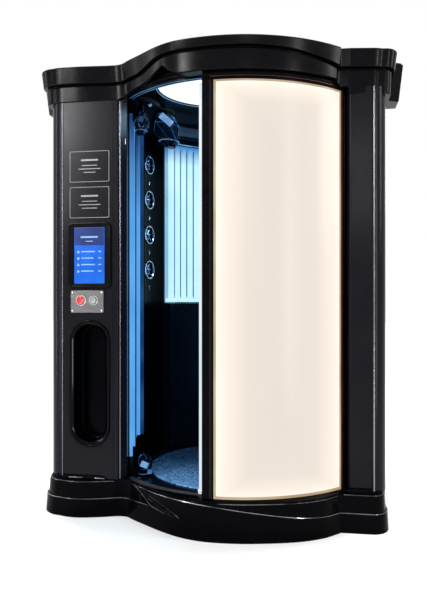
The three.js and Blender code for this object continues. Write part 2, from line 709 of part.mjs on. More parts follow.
// Lower rear panel with a ledge under the lamps, and the valance above them
piece('rear_lower_panel', sweep(arcStations(rearFrom, rearTo), () => [
  [LOWER_PANEL_RADIUS, wallBottom],
  [LOWER_PANEL_RADIUS + LOWER_PANEL_SHEET, wallBottom],
  [LOWER_PANEL_RADIUS + LOWER_PANEL_SHEET, LOWER_PANEL_TOP - LOWER_PANEL_SHEET],
  [wallOuter, LOWER_PANEL_TOP - LOWER_PANEL_SHEET],
  [wallOuter, LOWER_PANEL_TOP],
  [LOWER_PANEL_RADIUS, LOWER_PANEL_TOP],
]), 'liner');
piece('lamp_valance', sector(
  LOWER_PANEL_RADIUS, CABIN_RADIUS - NEST, rearFrom, rearTo,
  REAR_LAMP_TOP + GAP, REAR_LAMP_TOP + VALANCE_HEIGHT,
), 'liner');

// A bank of lamp tubes in a holder strip at each end
function lampBank(middle, count, pitch, bottom, top, standoff, radius) {
  const from = middle - (pitch * (count - 1)) / 2;
  const edge = pitch / 2 - seam;
  const inner = CABIN_RADIUS - NEST - HOLDER_DEPTH;
  const holder = (z) => sector(
    inner, CABIN_RADIUS - NEST, from - edge, from + pitch * (count - 1) + edge, z, z + HOLDER_HEIGHT,
  );
  const tubes = Array.from({ length: count }, (_, i) => {
    const [x, y] = polar(CABIN_RADIUS - standoff, from + pitch * i);
    return post(radius, bottom + HOLDER_HEIGHT / 2, top - HOLDER_HEIGHT / 2, x, y);
  });
  return join(holder(bottom), holder(top - HOLDER_HEIGHT), ...tubes);
}

const moduleSpan = REAR_LAMP_ANGLE * REAR_LAMPS_PER_MODULE;
for (let i = 0; i < REAR_MODULES; i += 1) {
  const middle = HALF_TURN + moduleSpan * (i - (REAR_MODULES - 1) / 2);
  piece(`rear_lamp_module_${i + 1}`, lampBank(
    middle, REAR_LAMPS_PER_MODULE, REAR_LAMP_ANGLE, REAR_LAMP_BOTTOM, REAR_LAMP_TOP,
    LAMP_STANDOFF, LAMP_RADIUS,
  ), 'lamp');
}
for (const [side, sign] of [['left', -1], ['right', 1]]) {
  piece(`side_lamp_bank_${side}`, lampBank(
    sign * SIDE_BANK_ANGLE, SIDE_LAMPS, SIDE_LAMP_ANGLE, SIDE_LAMP_BOTTOM, SIDE_LAMP_TOP,
    SIDE_LAMP_STANDOFF, SIDE_LAMP_RADIUS,
  ), 'lamp');
}

// Mist column with ringed ports on its face
function mistColumn() {
  const body = sector(
    COLUMN_RADIUS, CABIN_RADIUS - NEST, COLUMN_FROM_ANGLE, COLUMN_TO_ANGLE,
    FLOOR_TOP + GAP, COLUMN_TOP,
  );
  const facing = radians(PORT_ANGLE);
  const place = (geometry, radius, z) => {
    const [x, y] = polar(radius, PORT_ANGLE);
    return geometry.rotateZ(facing).translate(x, y, z);
  };
  const rings = [];
  const bores = [];
  for (let i = 0; i < PORTS; i += 1) {
    const z = PORT_TOP - PORT_PITCH * i;
    const ring = new THREE.CylinderGeometry(PORT_RADIUS, PORT_RADIUS + PORT_FLARE, 2 * PORT_PROUD, 20);
    const bore = new THREE.CylinderGeometry(PORT_BORE, PORT_BORE, 4 * PORT_PROUD, 16);
    rings.push(place(ring, COLUMN_RADIUS, z));
    bores.push(place(bore, COLUMN_RADIUS - PORT_PROUD, z));
  }
  return cut(join(body, ...rings), ...bores);
}

piece('mist_column', mistColumn(), 'trim');

// Ceiling with its light, and the extractor fan between ceiling and roof
const [LIGHT_X, LIGHT_Y] = polar(LIGHT_OFFSET, LIGHT_ANGLE);
const [FAN_X, FAN_Y] = polar(FAN_OFFSET, FAN_ANGLE);
const fanOuter = FAN_BORE + FAN_WALL;
const ceilingTop = CEILING + CEILING_SHEET;
const ceilingRim = new THREE.Shape();
ceilingRim.absarc(0, 0, wallOuter, 0, 2 * Math.PI, false);
ceilingRim.holes.push(roundHole(FAN_X, FAN_Y, FAN_BORE));
piece('ceiling_panel', new THREE.ExtrudeGeometry(ceilingRim, {
  depth: CEILING_SHEET, bevelEnabled: false, curveSegments: 30,
}).translate(0, 0, CEILING), 'liner');
const lightTop = CEILING - GAP;
piece('ceiling_light_ring', turned([
  [LIGHT_RADIUS, lightTop - LIGHT_DEPTH],
  [LIGHT_RADIUS + LIGHT_RING, lightTop - LIGHT_DEPTH / 2],
  [LIGHT_RADIUS + LIGHT_RING, lightTop],
  [LIGHT_RADIUS, lightTop],
], LIGHT_X, LIGHT_Y, 40), 'steel');
piece('ceiling_light_lens', turned([
  [0, lightTop - LIGHT_DEPTH], [LIGHT_RADIUS - GAP, lightTop - LIGHT_DEPTH / 2],
  [LIGHT_RADIUS - GAP, lightTop], [0, lightTop],
], LIGHT_X, LIGHT_Y, 40), 'opal');
piece('roof_panel', slab(
  innerOutline(BAND + GAP), roofBottom, roofBottom + ROOF_SHEET, [roundHole(FAN_X, FAN_Y, FAN_BORE)],
), 'trim');
const fanBottom = ceilingTop + GAP;
const fanTop = roofBottom - GAP;
piece('fan_housing', turned([
  [FAN_BORE, fanBottom], [fanOuter, fanBottom], [fanOuter, fanTop], [FAN_BORE, fanTop],
], FAN_X, FAN_Y, 32), 'trim');
const fanDepth = fanTop - fanBottom;
const blades = Array.from({ length: FAN_BLADES }, (_, i) => {
  const length = FAN_BORE - BLADE_CLEARANCE - FAN_HUB / 2;
  const blade = new THREE.BoxGeometry(length, BLADE_CHORD, BLADE_SHEET);
  blade.rotateX(radians(BLADE_TWIST_ANGLE)).translate(FAN_HUB / 2 + length / 2, 0, 0);
  return blade.rotateZ((2 * Math.PI * i) / FAN_BLADES);
});
const rotor = piece('fan_rotor', join(
  post(FAN_HUB, -fanDepth / 2, fanDepth / 2, 0, 0, 20), ...blades,
), 'trim');
rotor.position.set(FAN_X, FAN_Y, (fanBottom + fanTop) / 2);

// Two-tier crown section, raised by the arch of the bow
function crownSection(bottomRise, grooveRise) {
  const bottom = CROWN_BOTTOM + bottomRise;
  const groove = CROWN_GROOVE + grooveRise;
  const lowerTop = LOWER_TIER_OVERHANG + LOWER_TIER_FLARE;
  const upperTop = UPPER_TIER_OVERHANG + UPPER_TIER_FLARE;
  return [
    [-BAND, bottom],
    [LOWER_TIER_OVERHANG - CROWN_ROUND, bottom],
    [LOWER_TIER_OVERHANG, bottom + CROWN_ROUND],
    [lowerTop, groove - CROWN_ROUND],
    [lowerTop - CROWN_ROUND, groove],
    [GROOVE_OVERHANG, groove],
    [GROOVE_OVERHANG, groove + GROOVE_WIDTH],
    [UPPER_TIER_OVERHANG - CROWN_ROUND, groove + GROOVE_WIDTH],
    [UPPER_TIER_OVERHANG, groove + GROOVE_WIDTH + CROWN_ROUND],
    [upperTop, HEIGHT - 2 * CROWN_ROUND],
    [upperTop - 2 * CROWN_ROUND, HEIGHT],
    [-BAND, HEIGHT],
  ];
}

// The groove climbs in an S from the left pillar, runs level, and falls away to the right pillar
function grooveRise(angle) {
  if (angle > ARCH_RIGHT_ANGLE) {
    const fall = (angle - ARCH_RIGHT_ANGLE) / (rightFillet.bowAngle - ARCH_RIGHT_ANGLE);
    return CROWN_GROOVE_RISE * (1 - fall ** 2);
  }
  return CROWN_GROOVE_RISE * THREE.MathUtils.smoothstep(angle, ARCH_FOOT_ANGLE, ARCH_LEFT_ANGLE);
}

// The lower edge climbs over the doorway to a peak, then drops to the level of the lit panel
function bottomRise(angle) {
  const climb = (angle - leftFillet.bowAngle) / (DOOR_ARCH_ANGLE - leftFillet.bowAngle);
  const fall = (angle - DOOR_ARCH_ANGLE) / DOOR_ARCH_FALL_ANGLE;
  const share = fall < 0 ? climb : Math.max(0, 1 - fall);
  return CROWN_BOTTOM_RISE + DOOR_ARCH_RISE * share ** 2;
}

const pillarCrown = ({ share = 0 }) => crownSection(CROWN_BOTTOM_RISE * share, 0);
const sideCrownFront = -PILLAR_FRONT + SIDE_CROWN_SETBACK;
const sideCrownBack = sideCrownFront - GAP;
piece('crown_left', sweep(leftBand(sideCrownBack), pillarCrown), 'gloss_black');
piece('crown_right', sweep(rightBand(sideCrownBack), pillarCrown), 'gloss_black');
piece('crown_bow', sweep(bowStations, ({ angle }) => crownSection(
  bottomRise(angle), grooveRise(angle),
)), 'gloss_black');

// Side crown: a deep flared block behind each front corner, and a slimmer tier from it to the back
function sideCrown(sign, reach) {
  const at = (y, overhang) => ({ x: sign * reach, y, nx: sign, ny: 0, overhang });
  const blockFront = sideCrownFront + SIDE_CROWN_MITRE;
  const stations = [
    at(sideCrownFront, UPPER_TIER_OVERHANG),
    at(blockFront, SIDE_CROWN_OVERHANG),
    at(blockFront + SIDE_CROWN_BLOCK, SIDE_CROWN_OVERHANG),
    at(blockFront + SIDE_CROWN_BLOCK + SIDE_CROWN_TAPER, SIDE_CROWN_BACK_OVERHANG),
    at(BACK_REACH, SIDE_CROWN_BACK_OVERHANG),
  ];
  return sweep(stations, ({ overhang }) => [
    [-BAND, CROWN_BOTTOM],
    [overhang - SIDE_CROWN_FLARE, CROWN_BOTTOM],
    [overhang, HEIGHT - SIDE_CROWN_DROP - 2 * CROWN_ROUND],
    [overhang - 2 * CROWN_ROUND, HEIGHT - SIDE_CROWN_DROP],
    [-BAND, HEIGHT - SIDE_CROWN_DROP],
  ]);
}

piece('crown_side_left', sideCrown(-1, LEFT_REACH), 'gloss_black');
piece('crown_side_right', sideCrown(1, RIGHT_REACH), 'gloss_black');

// Header over the doorway, with a lip that comes down to the top of the lit panel
const headerInner = DOOR_RADIUS - TRACK_WIDTH;
const headerOuter = BOW_RADIUS - BAND - NEST;
const lipOuter = headerOuter - NEST;
piece('header_rail', join(
  sector(headerInner, headerOuter, DOORWAY_FROM, DOORWAY_TO, HEADER_BOTTOM, CEILING - GAP),
  sector(
    lipOuter - HEADER_LIP, lipOuter, FRAME_FROM_ANGLE, DOORWAY_TO - seam, PANEL_TOP, HEADER_BOTTOM + NEST,
  ),
), 'trim');

// Lit panel: stiles, opal diffuser and the LED panel behind it
const boxBottom = PLINTH_TOP + GAP;
const boxTop = PANEL_TOP - GAP;
const boxInner = BOW_RADIUS - LIGHTBOX_DEPTH;
const stile = (from, to) => sector(boxInner, BOW_RADIUS + DIFFUSER, from, to, boxBottom, boxTop);
piece('lightbox_stile_left', stile(FRAME_FROM_ANGLE, PANEL_FROM_ANGLE - seam), 'trim');
piece('lightbox_stile_right', stile(PANEL_TO + seam, FRAME_TO), 'trim');
piece('lightbox_diffuser', sector(
  BOW_RADIUS - DIFFUSER, BOW_RADIUS, PANEL_FROM_ANGLE, PANEL_TO, boxBottom, boxTop,
), 'opal');
piece('lightbox_led_panel', sector(
  boxInner, boxInner + LED_PANEL, PANEL_FROM_ANGLE, PANEL_TO, boxBottom, boxTop,
), 'edge_white');

// Door leaf with its bright leading edge and guide foot, in a channel above and below
const channelInner = DOOR_RADIUS - TRACK_WIDTH / 2;
const channelOuter = DOOR_RADIUS + TRACK_WIDTH / 2;
function channel(open, closed) {
  const floor = closed + Math.sign(open - closed) * TRACK_FLOOR;
  return sweep(arcStations(DOORWAY_FROM, DOORWAY_TO), () => [
    [channelInner, closed], [channelOuter, closed], [channelOuter, open],
    [channelOuter - TRACK_WALL, open], [channelOuter - TRACK_WALL, floor],
    [channelInner + TRACK_WALL, floor], [channelInner + TRACK_WALL, open], [channelInner, open],
  ]);
}

const lowerTrackBottom = sillTop + GAP;
const lowerTrackTop = lowerTrackBottom + TRACK_HEIGHT;
const upperTrackTop = HEADER_BOTTOM - GAP;
const upperTrackBottom = upperTrackTop - TRACK_HEIGHT;
piece('door_track_bottom', channel(lowerTrackTop, lowerTrackBottom), 'steel');
piece('door_track_top', channel(upperTrackBottom, upperTrackTop), 'steel');
const degreesAtDoor = (length) => degrees(length / DOOR_RADIUS);
const edgeFrom = LEAF_FROM - degreesAtDoor(DOOR_EDGE_WIDTH);
const glideFrom = LEAF_FROM - degreesAtDoor(GLIDE_WIDTH);
const doorBand = (depth, from, to, bottom, top) => sector(
  DOOR_RADIUS - depth / 2, DOOR_RADIUS + depth / 2, from, to, bottom, top,
);
piece('door_leaf', doorBand(
  DOOR_SHEET, LEAF_FROM, LEAF_TO,
  lowerTrackBottom + TRACK_FLOOR + DOOR_CLEARANCE, upperTrackTop - TRACK_FLOOR - DOOR_CLEARANCE,
), 'acrylic');
const glideBottom = lowerTrackTop + DOOR_CLEARANCE;
const glideTop = glideBottom + GLIDE_HEIGHT;
const leafSeam = degreesAtDoor(GAP);
piece('door_glide', doorBand(
  DOOR_EDGE_DEPTH, glideFrom, LEAF_FROM - leafSeam, glideBottom, glideTop,
), 'edge_white');
piece('door_edge', doorBand(
  DOOR_EDGE_DEPTH, edgeFrom, LEAF_FROM - leafSeam, glideTop + GAP, upperTrackBottom - EDGE_HEADROOM,
), 'edge_white');

// Touch screen in its bezel
const bezelShape = roundedShape(BEZEL_WIDTH, BEZEL_HEIGHT, BEZEL_CORNER);
const screenPocket = roundedShape(SCREEN_WIDTH + 2 * GAP, SCREEN_HEIGHT + 2 * GAP, SCREEN_CORNER);
const screenBack = BEZEL_PROUD - SCREEN_GLASS - SCREEN_INSET;
piece('screen_bezel', cut(
  facePlate(bezelShape, CONTROL_X, BEZEL_MIDDLE, GAP, BEZEL_PROUD),
  facePlate(screenPocket, CONTROL_X, BEZEL_MIDDLE, screenBack - GAP, 2 * BEZEL_PROUD),
), 'gloss_black');
piece('touch_screen', facePlate(
  roundedShape(SCREEN_WIDTH, SCREEN_HEIGHT, SCREEN_CORNER), CONTROL_X, BEZEL_MIDDLE,
  screenBack, screenBack + SCREEN_GLASS,
), 'screen');

// Steel plate with a red stop button and a grey start button
const buttonHeight = PLATE_MIDDLE + BUTTON_RISE;
const redX = plateX - BUTTON_SPACING / 2;
const greyX = plateX + BUTTON_SPACING / 2;
function faceBar(radius, x, z, back, front) {
  const geometry = new THREE.CylinderGeometry(radius, radius, front - back, 24);
  return geometry.translate(x, -PILLAR_FRONT - (front + back) / 2, z);
}
const buttonHole = (radius, x) => faceBar(
  radius + BUTTON_CLEARANCE, x, buttonHeight, -PLATE_PROUD, 2 * PLATE_PROUD,
);
piece('button_plate', cut(
  facePlate(plateShape(0), plateX, PLATE_MIDDLE, GAP, PLATE_PROUD),
  buttonHole(RED_BUTTON, redX),
  buttonHole(GREY_BUTTON, greyX),
), 'steel');
const buttonFront = PLATE_PROUD + BUTTON_PROUD;
piece('red_button', faceBar(RED_BUTTON, redX, buttonHeight, -BUTTON_TAIL, buttonFront), 'red');
piece('grey_button', faceBar(GREY_BUTTON, greyX, buttonHeight, -BUTTON_TAIL, buttonFront), 'grey');

// Cubby: a deep liner with a lip that sits on the pillar's face
function cubbyLiner() {
  const place = (inset, back, front) => facePlate(
    cubbyShape(inset), CONTROL_X, CUBBY_MIDDLE, back, front,
  );
  const sleeve = CUBBY_LIP + NEST / 2;
  return cut(
    join(place(0, GAP, CUBBY_PROUD), place(sleeve, -CUBBY_DEPTH, CUBBY_PROUD)),
    place(sleeve + CUBBY_SHEET, -CUBBY_DEPTH + CUBBY_SHEET, 2 * CUBBY_PROUD),
  );
}

piece('cubby_liner', cubbyLiner(), 'gloss_black');

// Two instruction plates, left blank
for (let i = 0; i < 2; i += 1) {
  piece(`step_plate_${i + 1}`, facePlate(
    roundedShape(STEP_WIDTH, STEP_HEIGHT, STEP_CORNER), CONTROL_X, STEP_MIDDLE - STEP_PITCH * i,
    GAP, STEP_PROUD,
  ), 'shell');
}

// Facial lamps: chamfered heads hung from the cross bar of an arm under the ceiling
// The small head hangs just past the left wall and its lamps, and the bar runs from it to the big head
const smallAngle = Math.max(
  LEFT_WALL_TO + SMALL_HEAD_MARGIN_ANGLE, SIDE_BANK_FROM + SMALL_HEAD_BANK_MARGIN_ANGLE,
);
const [smallX, smallY] = polar(CABIN_RADIUS - SMALL_HEAD_STANDOFF, smallAngle);
const [bigX, bigY] = polar(CABIN_RADIUS - ARM_STANDOFF, ARM_ANGLE);
const armSpan = Math.hypot(bigX - smallX, bigY - smallY);
const armYaw = Math.atan2(bigY - smallY, bigX - smallX);
const armGroup = new THREE.Group();
armGroup.position.set(bigX, bigY, CEILING - GAP - ARM_DROP);
armGroup.rotation.z = armYaw;
booth.add(armGroup);

// In the arm's group the lamps face -Y, and the cross bar lies along X through its origin
function lampArm() {
  const from = -armSpan - BAR_OVERRUN;
  const to = BIG_HEAD.width / 2 - BAR_OVERRUN;
  const bar = new THREE.CylinderGeometry(ARM_RADIUS, ARM_RADIUS, to - from, ARM_SIDES);
  const plate = post(ARM_PLATE, ARM_DROP - ARM_PLATE_SHEET, ARM_DROP, -armSpan, 0, 2 * ARM_SIDES);
  return join(
    plate, post(ARM_RADIUS, 0, ARM_DROP, -armSpan, 0, ARM_SIDES),
    bar.rotateZ(Math.PI / 2).translate((from + to) / 2, 0, 0),
  );
}

// Lamp head with cut corners and bevelled faces, hung down from the middle of its top
function lampHead({ width, height, depth }) {
  const side = width / 2;
  const shape = new THREE.Shape();
  shape.moveTo(-side + HEAD_CHAMFER, -height);
  shape.lineTo(side - HEAD_CHAMFER, -height);
  shape.lineTo(side, -height + HEAD_CHAMFER);
  shape.lineTo(side, -HEAD_CHAMFER);
  shape.lineTo(side - HEAD_CHAMFER, 0);
  shape.lineTo(-side + HEAD_CHAMFER, 0);
  shape.lineTo(-side, -HEAD_CHAMFER);
  shape.lineTo(-side, -height + HEAD_CHAMFER);
  const bevel = HEAD_CHAMFER / 2;
  const geometry = new THREE.ExtrudeGeometry(shape, {
    depth: depth - 2 * bevel,
    bevelEnabled: true,
    bevelThickness: bevel,
    bevelSize: bevel,
    bevelOffset: -bevel,
    bevelSegments: 1,
  });
  return geometry.translate(0, 0, bevel - depth / 2).rotateX(Math.PI / 2);
}

piece('face_lamp_arm', lampArm(), 'steel', armGroup);
const headDrop = ARM_RADIUS + HEAD_CLEARANCE;
const hungHeads = [['face_lamp_big', BIG_HEAD, 0], ['face_lamp_small', SMALL_HEAD, -armSpan]];
for (const [name, head, side] of hungHeads) {
  const mesh = piece(name, lampHead(head), 'gloss_black', armGroup);
  mesh.position.set(side, 0, -headDrop);
}
const legLamp = piece('leg_lamp', lampHead(LEG_LAMP), 'gloss_black');
legLamp.position.set(
  ...polar(CABIN_RADIUS - LEG_LAMP_STANDOFF, LEG_LAMP_ANGLE), FLOOR_TOP + GAP + LEG_LAMP.height,
);
legLamp.rotation.z = armYaw;

// Machine bay: solution tank and pump on the deck, control box on the shell
const bayLeft = -LEFT_REACH + BAND;
const bayX = (bayLeft - wallOuter) / 2;
const tankWidth = -wallOuter - bayLeft - 2 * BAY_CLEARANCE;
const tankTop = DECK + GAP + TANK_HEIGHT;
piece('solution_tank', join(
  block(tankWidth, TANK_LENGTH, TANK_HEIGHT, bayX, TANK_Y, DECK + GAP),
  post(TANK_NECK, tankTop - TANK_CAP, tankTop + TANK_CAP, bayX, TANK_Y, 20),
), 'tank');
const pumpAxis = DECK + GAP + PUMP_FOOT + PUMP_RADIUS;
const pumpBarrel = new THREE.CylinderGeometry(PUMP_RADIUS, PUMP_RADIUS, PUMP_LENGTH, 20);
piece('mist_pump', join(
  pumpBarrel.translate(bayX, PUMP_Y, pumpAxis),
  block(2 * PUMP_RADIUS, PUMP_FOOT_LENGTH, PUMP_FOOT + PUMP_RADIUS, bayX, PUMP_Y, DECK + GAP),
), 'steel');
const boxX = -LEFT_REACH + SHELL + GAP + CONTROL_BOX_DEPTH / 2;
piece('control_box', block(
  CONTROL_BOX_DEPTH, CONTROL_BOX_WIDTH, CONTROL_BOX_HEIGHT, boxX, CONTROL_BOX_Y, CONTROL_BOX_BOTTOM,
), 'grey');

export default booth;
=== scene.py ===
"""Looks of the stand-up booth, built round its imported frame. Lengths are in millimetres up to the meshes."""
import math
from types import SimpleNamespace

import bmesh
import bpy
from mathutils import Matrix, Vector


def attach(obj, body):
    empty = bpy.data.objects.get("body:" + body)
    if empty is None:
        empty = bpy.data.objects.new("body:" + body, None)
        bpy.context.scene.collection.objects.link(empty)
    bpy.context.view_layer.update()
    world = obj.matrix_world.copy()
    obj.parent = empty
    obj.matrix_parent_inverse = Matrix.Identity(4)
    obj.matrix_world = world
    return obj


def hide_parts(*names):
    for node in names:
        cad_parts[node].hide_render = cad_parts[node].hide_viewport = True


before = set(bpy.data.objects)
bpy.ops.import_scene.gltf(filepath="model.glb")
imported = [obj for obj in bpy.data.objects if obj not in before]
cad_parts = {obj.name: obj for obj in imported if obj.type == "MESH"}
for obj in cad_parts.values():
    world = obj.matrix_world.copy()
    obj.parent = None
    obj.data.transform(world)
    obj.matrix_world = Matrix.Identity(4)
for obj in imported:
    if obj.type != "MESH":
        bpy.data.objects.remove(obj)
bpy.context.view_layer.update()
scene = bpy.context.scene
MM = 0.001

# Plan and heights shared with the solids
HEIGHT = 2340
BOW = 752
FRONT = 520
LEFT = 953.2
RIGHT = 782.2
BACK = 720
LEFT_CORNER = 75
RIGHT_CORNER = 70
LEFT_FLAT = 570.2
RIGHT_FLAT = 609.2
LEFT_FILLET = 95
RIGHT_FILLET = 64
BAND = 30
GAP = 0.4
CABIN = 640
WALL = 10
PLINTH = 188
CROWN_BOTTOM = 2163
CROWN_GROOVE = 2244
CEILING = 2296
UNDER_CEILING = CEILING - GAP
HEADER = 2200
PANEL_TOP = 2155
FLOOR = 152
DOOR = 693
SHELL = 6
DECK_TOP = 30 + GAP
WALL_BACK = CABIN + WALL
LINING = CABIN - 2
LOWER_PANEL = 592
LOWER_PANEL_BACK = LOWER_PANEL + 8
LOWER_PANEL_TOP = 1105
LEDGE = LOWER_PANEL_TOP - 8
REAR_LAMP_TOP = 2150
BANK_BOTTOM, BANK_TOP = 262, 2166
TRACK_FROM, TRACK_TO = -48.6, 48
PANEL_FROM, PANEL_TO = -2.0, 48.9


# Materials
PEEL, FINE_PEEL = 0.00004, 0.00001


def feed(tree, target, value):
    """Links a socket to an input, or writes any other value on the input itself."""
    if isinstance(value, bpy.types.NodeSocket):
        tree.links.new(value, target)
    else:
        target.default_value = value


def feed_all(tree, node, inputs):
    """Feeds a node's inputs by name, with underscores for spaces."""
    for key, value in inputs.items():
        feed(tree, node.inputs[key.replace("_", " ")], value)


def add_node(tree, kind, **inputs):
    node = tree.nodes.new("ShaderNode" + kind)
    feed_all(tree, node, inputs)
    return node


def maths(tree, operation, a, b=0):
    node = add_node(tree, "Math")
    node.operation = operation
    for target, value in zip(node.inputs, (a, b)):
        feed(tree, target, value)
    return node.outputs["Value"]


class Finish:
    """A principled material with procedural detail in the object's own frame."""

    def __init__(self, name, colour, **inputs):
        self.mat = bpy.data.materials.new(name)
        self.mat.use_nodes = True
        self.tree = self.mat.node_tree
        self.coords = self.add("TexCoord").outputs["Object"]
        self.set(Base_Color=(*colour, 1), **inputs)

    def set(self, **inputs):
        feed_all(self.tree, self.tree.nodes["Principled BSDF"], inputs)

    def add(self, kind, **inputs):
        return add_node(self.tree, kind, **inputs)

    def maths(self, operation, a, b=0):
        return maths(self.tree, operation, a, b)

    def axis(self, name):
        return self.add("SeparateXYZ", Vector=self.coords).outputs[name]

    def noise(self, scale, detail=3, stretch=(1, 1, 1)):
        place = self.add("Mapping", Vector=self.coords, Scale=stretch).outputs["Vector"]
        return self.add("TexNoise", Vector=place, Scale=scale, Detail=detail).outputs["Fac"]

    def pebbles(self, scale):
        node = self.add("TexVoronoi", Vector=self.coords, Scale=scale)
        node.feature = "SMOOTH_F1"
        return node.outputs["Distance"]

    def ramp(self, source, *stops):
        node = self.add("ValToRGB", Fac=source)
        elements = node.color_ramp.elements
        while len(elements) < len(stops):
            elements.new(0.5)
        for element, (place, colour) in zip(elements, stops):
            element.position = place
            element.color = (*colour, 1)
        return node.outputs["Color"]

    def spread(self, source, low, high, limits=(0.3, 0.7)):
        """Carries a value from between its limits to between low and high."""
        node = self.add("MapRange", Value=source, From_Min=limits[0], From_Max=limits[1], To_Min=low,
                        To_Max=high)
        return node.outputs["Result"]

    def bump(self, source, strength, distance):
        node = self.add("Bump", Height=source, Strength=strength, Distance=distance)
        self.set(Normal=node.outputs["Normal"])

    def fade_up(self, colour, limits):
        """Turns the glow into another colour with height, between two heights in metres."""
        node = self.add("Mix")
        node.data_type = "RGBA"
        share = self.spread(self.axis("Z"), 0, 1, limits)
        feed_all(self.tree, node, {"Factor": share, "A": self.tint, "B": (*colour, 1)})
        self.set(Emission_Color=node.outputs["Result"])


def moulded(name, dark, light, rough, level, peel=PEEL):
    """Moulded or sprayed plastic: cloudy colour, uneven gloss and a fine orange peel."""
    finish = Finish(name, light, Specular_IOR_Level=level)
    finish.set(Base_Color=finish.ramp(finish.noise(6, 4), (0.3, dark), (0.75, light)))
    finish.set(Roughness=finish.spread(finish.noise(38, 4), *rough))
    finish.bump(finish.noise(520, 2), 0.25, peel)
    return finish


def brushed(name, colour, rough, stretch):
    """Brushed metal with its grain along the axis that is stretched least."""
    finish = Finish(name, colour, Metallic=1.0)
    grain = finish.noise(260, 3, stretch)
    dark = tuple(0.72 * c for c in colour)
    finish.set(Base_Color=finish.ramp(grain, (0.3, dark), (0.7, colour)),
               Roughness=finish.spread(grain, *rough))
    finish.bump(grain, 0.3, PEEL)
    return finish


def painted_highlight_metal(name, dark, light, scale):
    """Polished metal whose colour runs between dark and light in broken runs: a painted highlight along an
    edge.
    """
    finish = Finish(name, light, Metallic=1.0)
    finish.set(Base_Color=finish.ramp(finish.noise(scale, 3), (0.36, dark), (0.62, light)))
    finish.set(Roughness=finish.spread(finish.noise(90, 2), 0.16, 0.28))
    return finish


def glowing(name, colour, strength, low, high, scale=3.0, body=0.1):
    """A lit surface whose glow drifts a little over its length."""
    finish = Finish(name, tuple(body * c for c in colour), Roughness=0.25, Specular_IOR_Level=0.2)
    finish.tint = finish.ramp(finish.noise(scale, 2), (0.3, low), (0.7, high))
    finish.set(Emission_Color=finish.tint, Emission_Strength=strength)
    return finish


SHELL_PAINT = moulded(
    "charcoal_satin", (0.0040, 0.0039, 0.0060), (0.0060, 0.0059, 0.0086), (0.19, 0.24), 0.07, FINE_PEEL)
GLOSS = moulded(
    "gloss_black_moulding", (0.0010, 0.0010, 0.0015), (0.0019, 0.0019, 0.0026), (0.18, 0.25), 0.06,
    2 * FINE_PEEL)
LIP_GLOSS = moulded(
    "gloss_black_lip", (0.0004, 0.0004, 0.0007), (0.0009, 0.0009, 0.0013), (0.05, 0.08), 0.055,
    0.4 * FINE_PEEL)
PLINTH_GLOSS = moulded(
    "gloss_black_plinth", (0.0006, 0.0006, 0.0010), (0.0012, 0.0012, 0.0017), (0.10, 0.16), 0.02)
TRIM = moulded(
    "satin_black_trim", (0.0008, 0.0008, 0.0012), (0.0016, 0.0016, 0.0022), (0.22, 0.32), 0.025, FINE_PEEL)
LINER = moulded("cabin_liner", (0.001, 0.003, 0.007), (0.003, 0.008, 0.016), (0.14, 0.24), 0.2)
# Painted reflections: copper-coloured lines for the warm panel's reflection in the frame
PAINTED_REFLECTION = brushed("painted_reflection_line", (0.33, 0.10, 0.06), (0.25, 0.4), (1, 1, 0.02))
DIM_PAINTED_REFLECTION = brushed("dim_painted_reflection_line", (0.060, 0.026, 0.022), (0.35, 0.5), (1, 1, 0.02))
STEEL = brushed("brushed_steel", (0.30, 0.295, 0.29), (0.30, 0.42), (0.03, 1, 1))
CHROME = brushed("chrome", (0.75, 0.78, 0.82), (0.05, 0.12), (0.2, 0.2, 0.2))
PORT_CHROME = brushed("port_chrome", (0.50, 0.68, 0.86), (0.06, 0.14), (0.2, 0.2, 0.2))
BLUE_CHROME = brushed("blue_chrome", (0.22, 0.42, 0.72), (0.08, 0.16), (0.3, 0.3, 0.3))
FASCIA = moulded("fascia_satin", (0.19, 0.32, 0.45), (0.26, 0.42, 0.58), (0.28, 0.38), 0.4)
PLATE_STEEL = brushed("plate_steel", (0.135, 0.130, 0.130), (0.30, 0.42), (0.03, 1, 1))
COLUMN = moulded("column_black", (0.0004, 0.0006, 0.0012), (0.0008, 0.0012, 0.0022), (0.14, 0.22), 0.02)
REFLECTOR = brushed("reflector", (0.55, 0.68, 0.82), (0.10, 0.2), (1, 1, 0.02))
RED = moulded("red_cap", (0.50, 0.010, 0.008), (0.66, 0.018, 0.014), (0.22, 0.32), 0.5)
GREY = moulded("grey_plastic", (0.20, 0.205, 0.215), (0.28, 0.285, 0.295), (0.28, 0.4), 0.45)
WHITE = moulded("white_plastic", (0.70, 0.74, 0.78), (0.84, 0.87, 0.90), (0.25, 0.35), 0.5)
TANK = moulded("natural_tank", (0.62, 0.63, 0.58), (0.74, 0.75, 0.70), (0.32, 0.45), 0.5)
LAMP = glowing("lamp_tube", (0.60, 0.92, 1.0), 1.0, (0.48, 0.84, 1.0), (0.62, 0.93, 1.0))
BLUE_LAMP = glowing("blue_lamp_tube", (0.12, 0.42, 0.95), 0.9, (0.07, 0.33, 0.80), (0.12, 0.43, 0.92))
LAMP.fade_up((0.04, 0.20, 0.52), (2.02, 2.14))
BLUE_LAMP.fade_up((0.010, 0.050, 0.16), (1.60, 2.12))
LIGHT_LINE = glowing("light_line", (0.2, 0.5, 0.9), 0.85, (0.06, 0.24, 0.60), (0.30, 0.60, 0.95), 14)
# Painted highlights: bright metal for beads that stand in for the light along the plinth's ridges and edges
SHEEN = painted_highlight_metal("edge_sheen", (0.02, 0.02, 0.024), (0.17, 0.17, 0.19), 4.5)
SOFT_SHEEN = painted_highlight_metal("edge_sheen_soft", (0.010, 0.010, 0.013), (0.055, 0.055, 0.064), 4.5)
BRIGHT_SHEEN = painted_highlight_metal("edge_sheen_bright", (0.03, 0.03, 0.036), (0.42, 0.42, 0.45), 5.5)
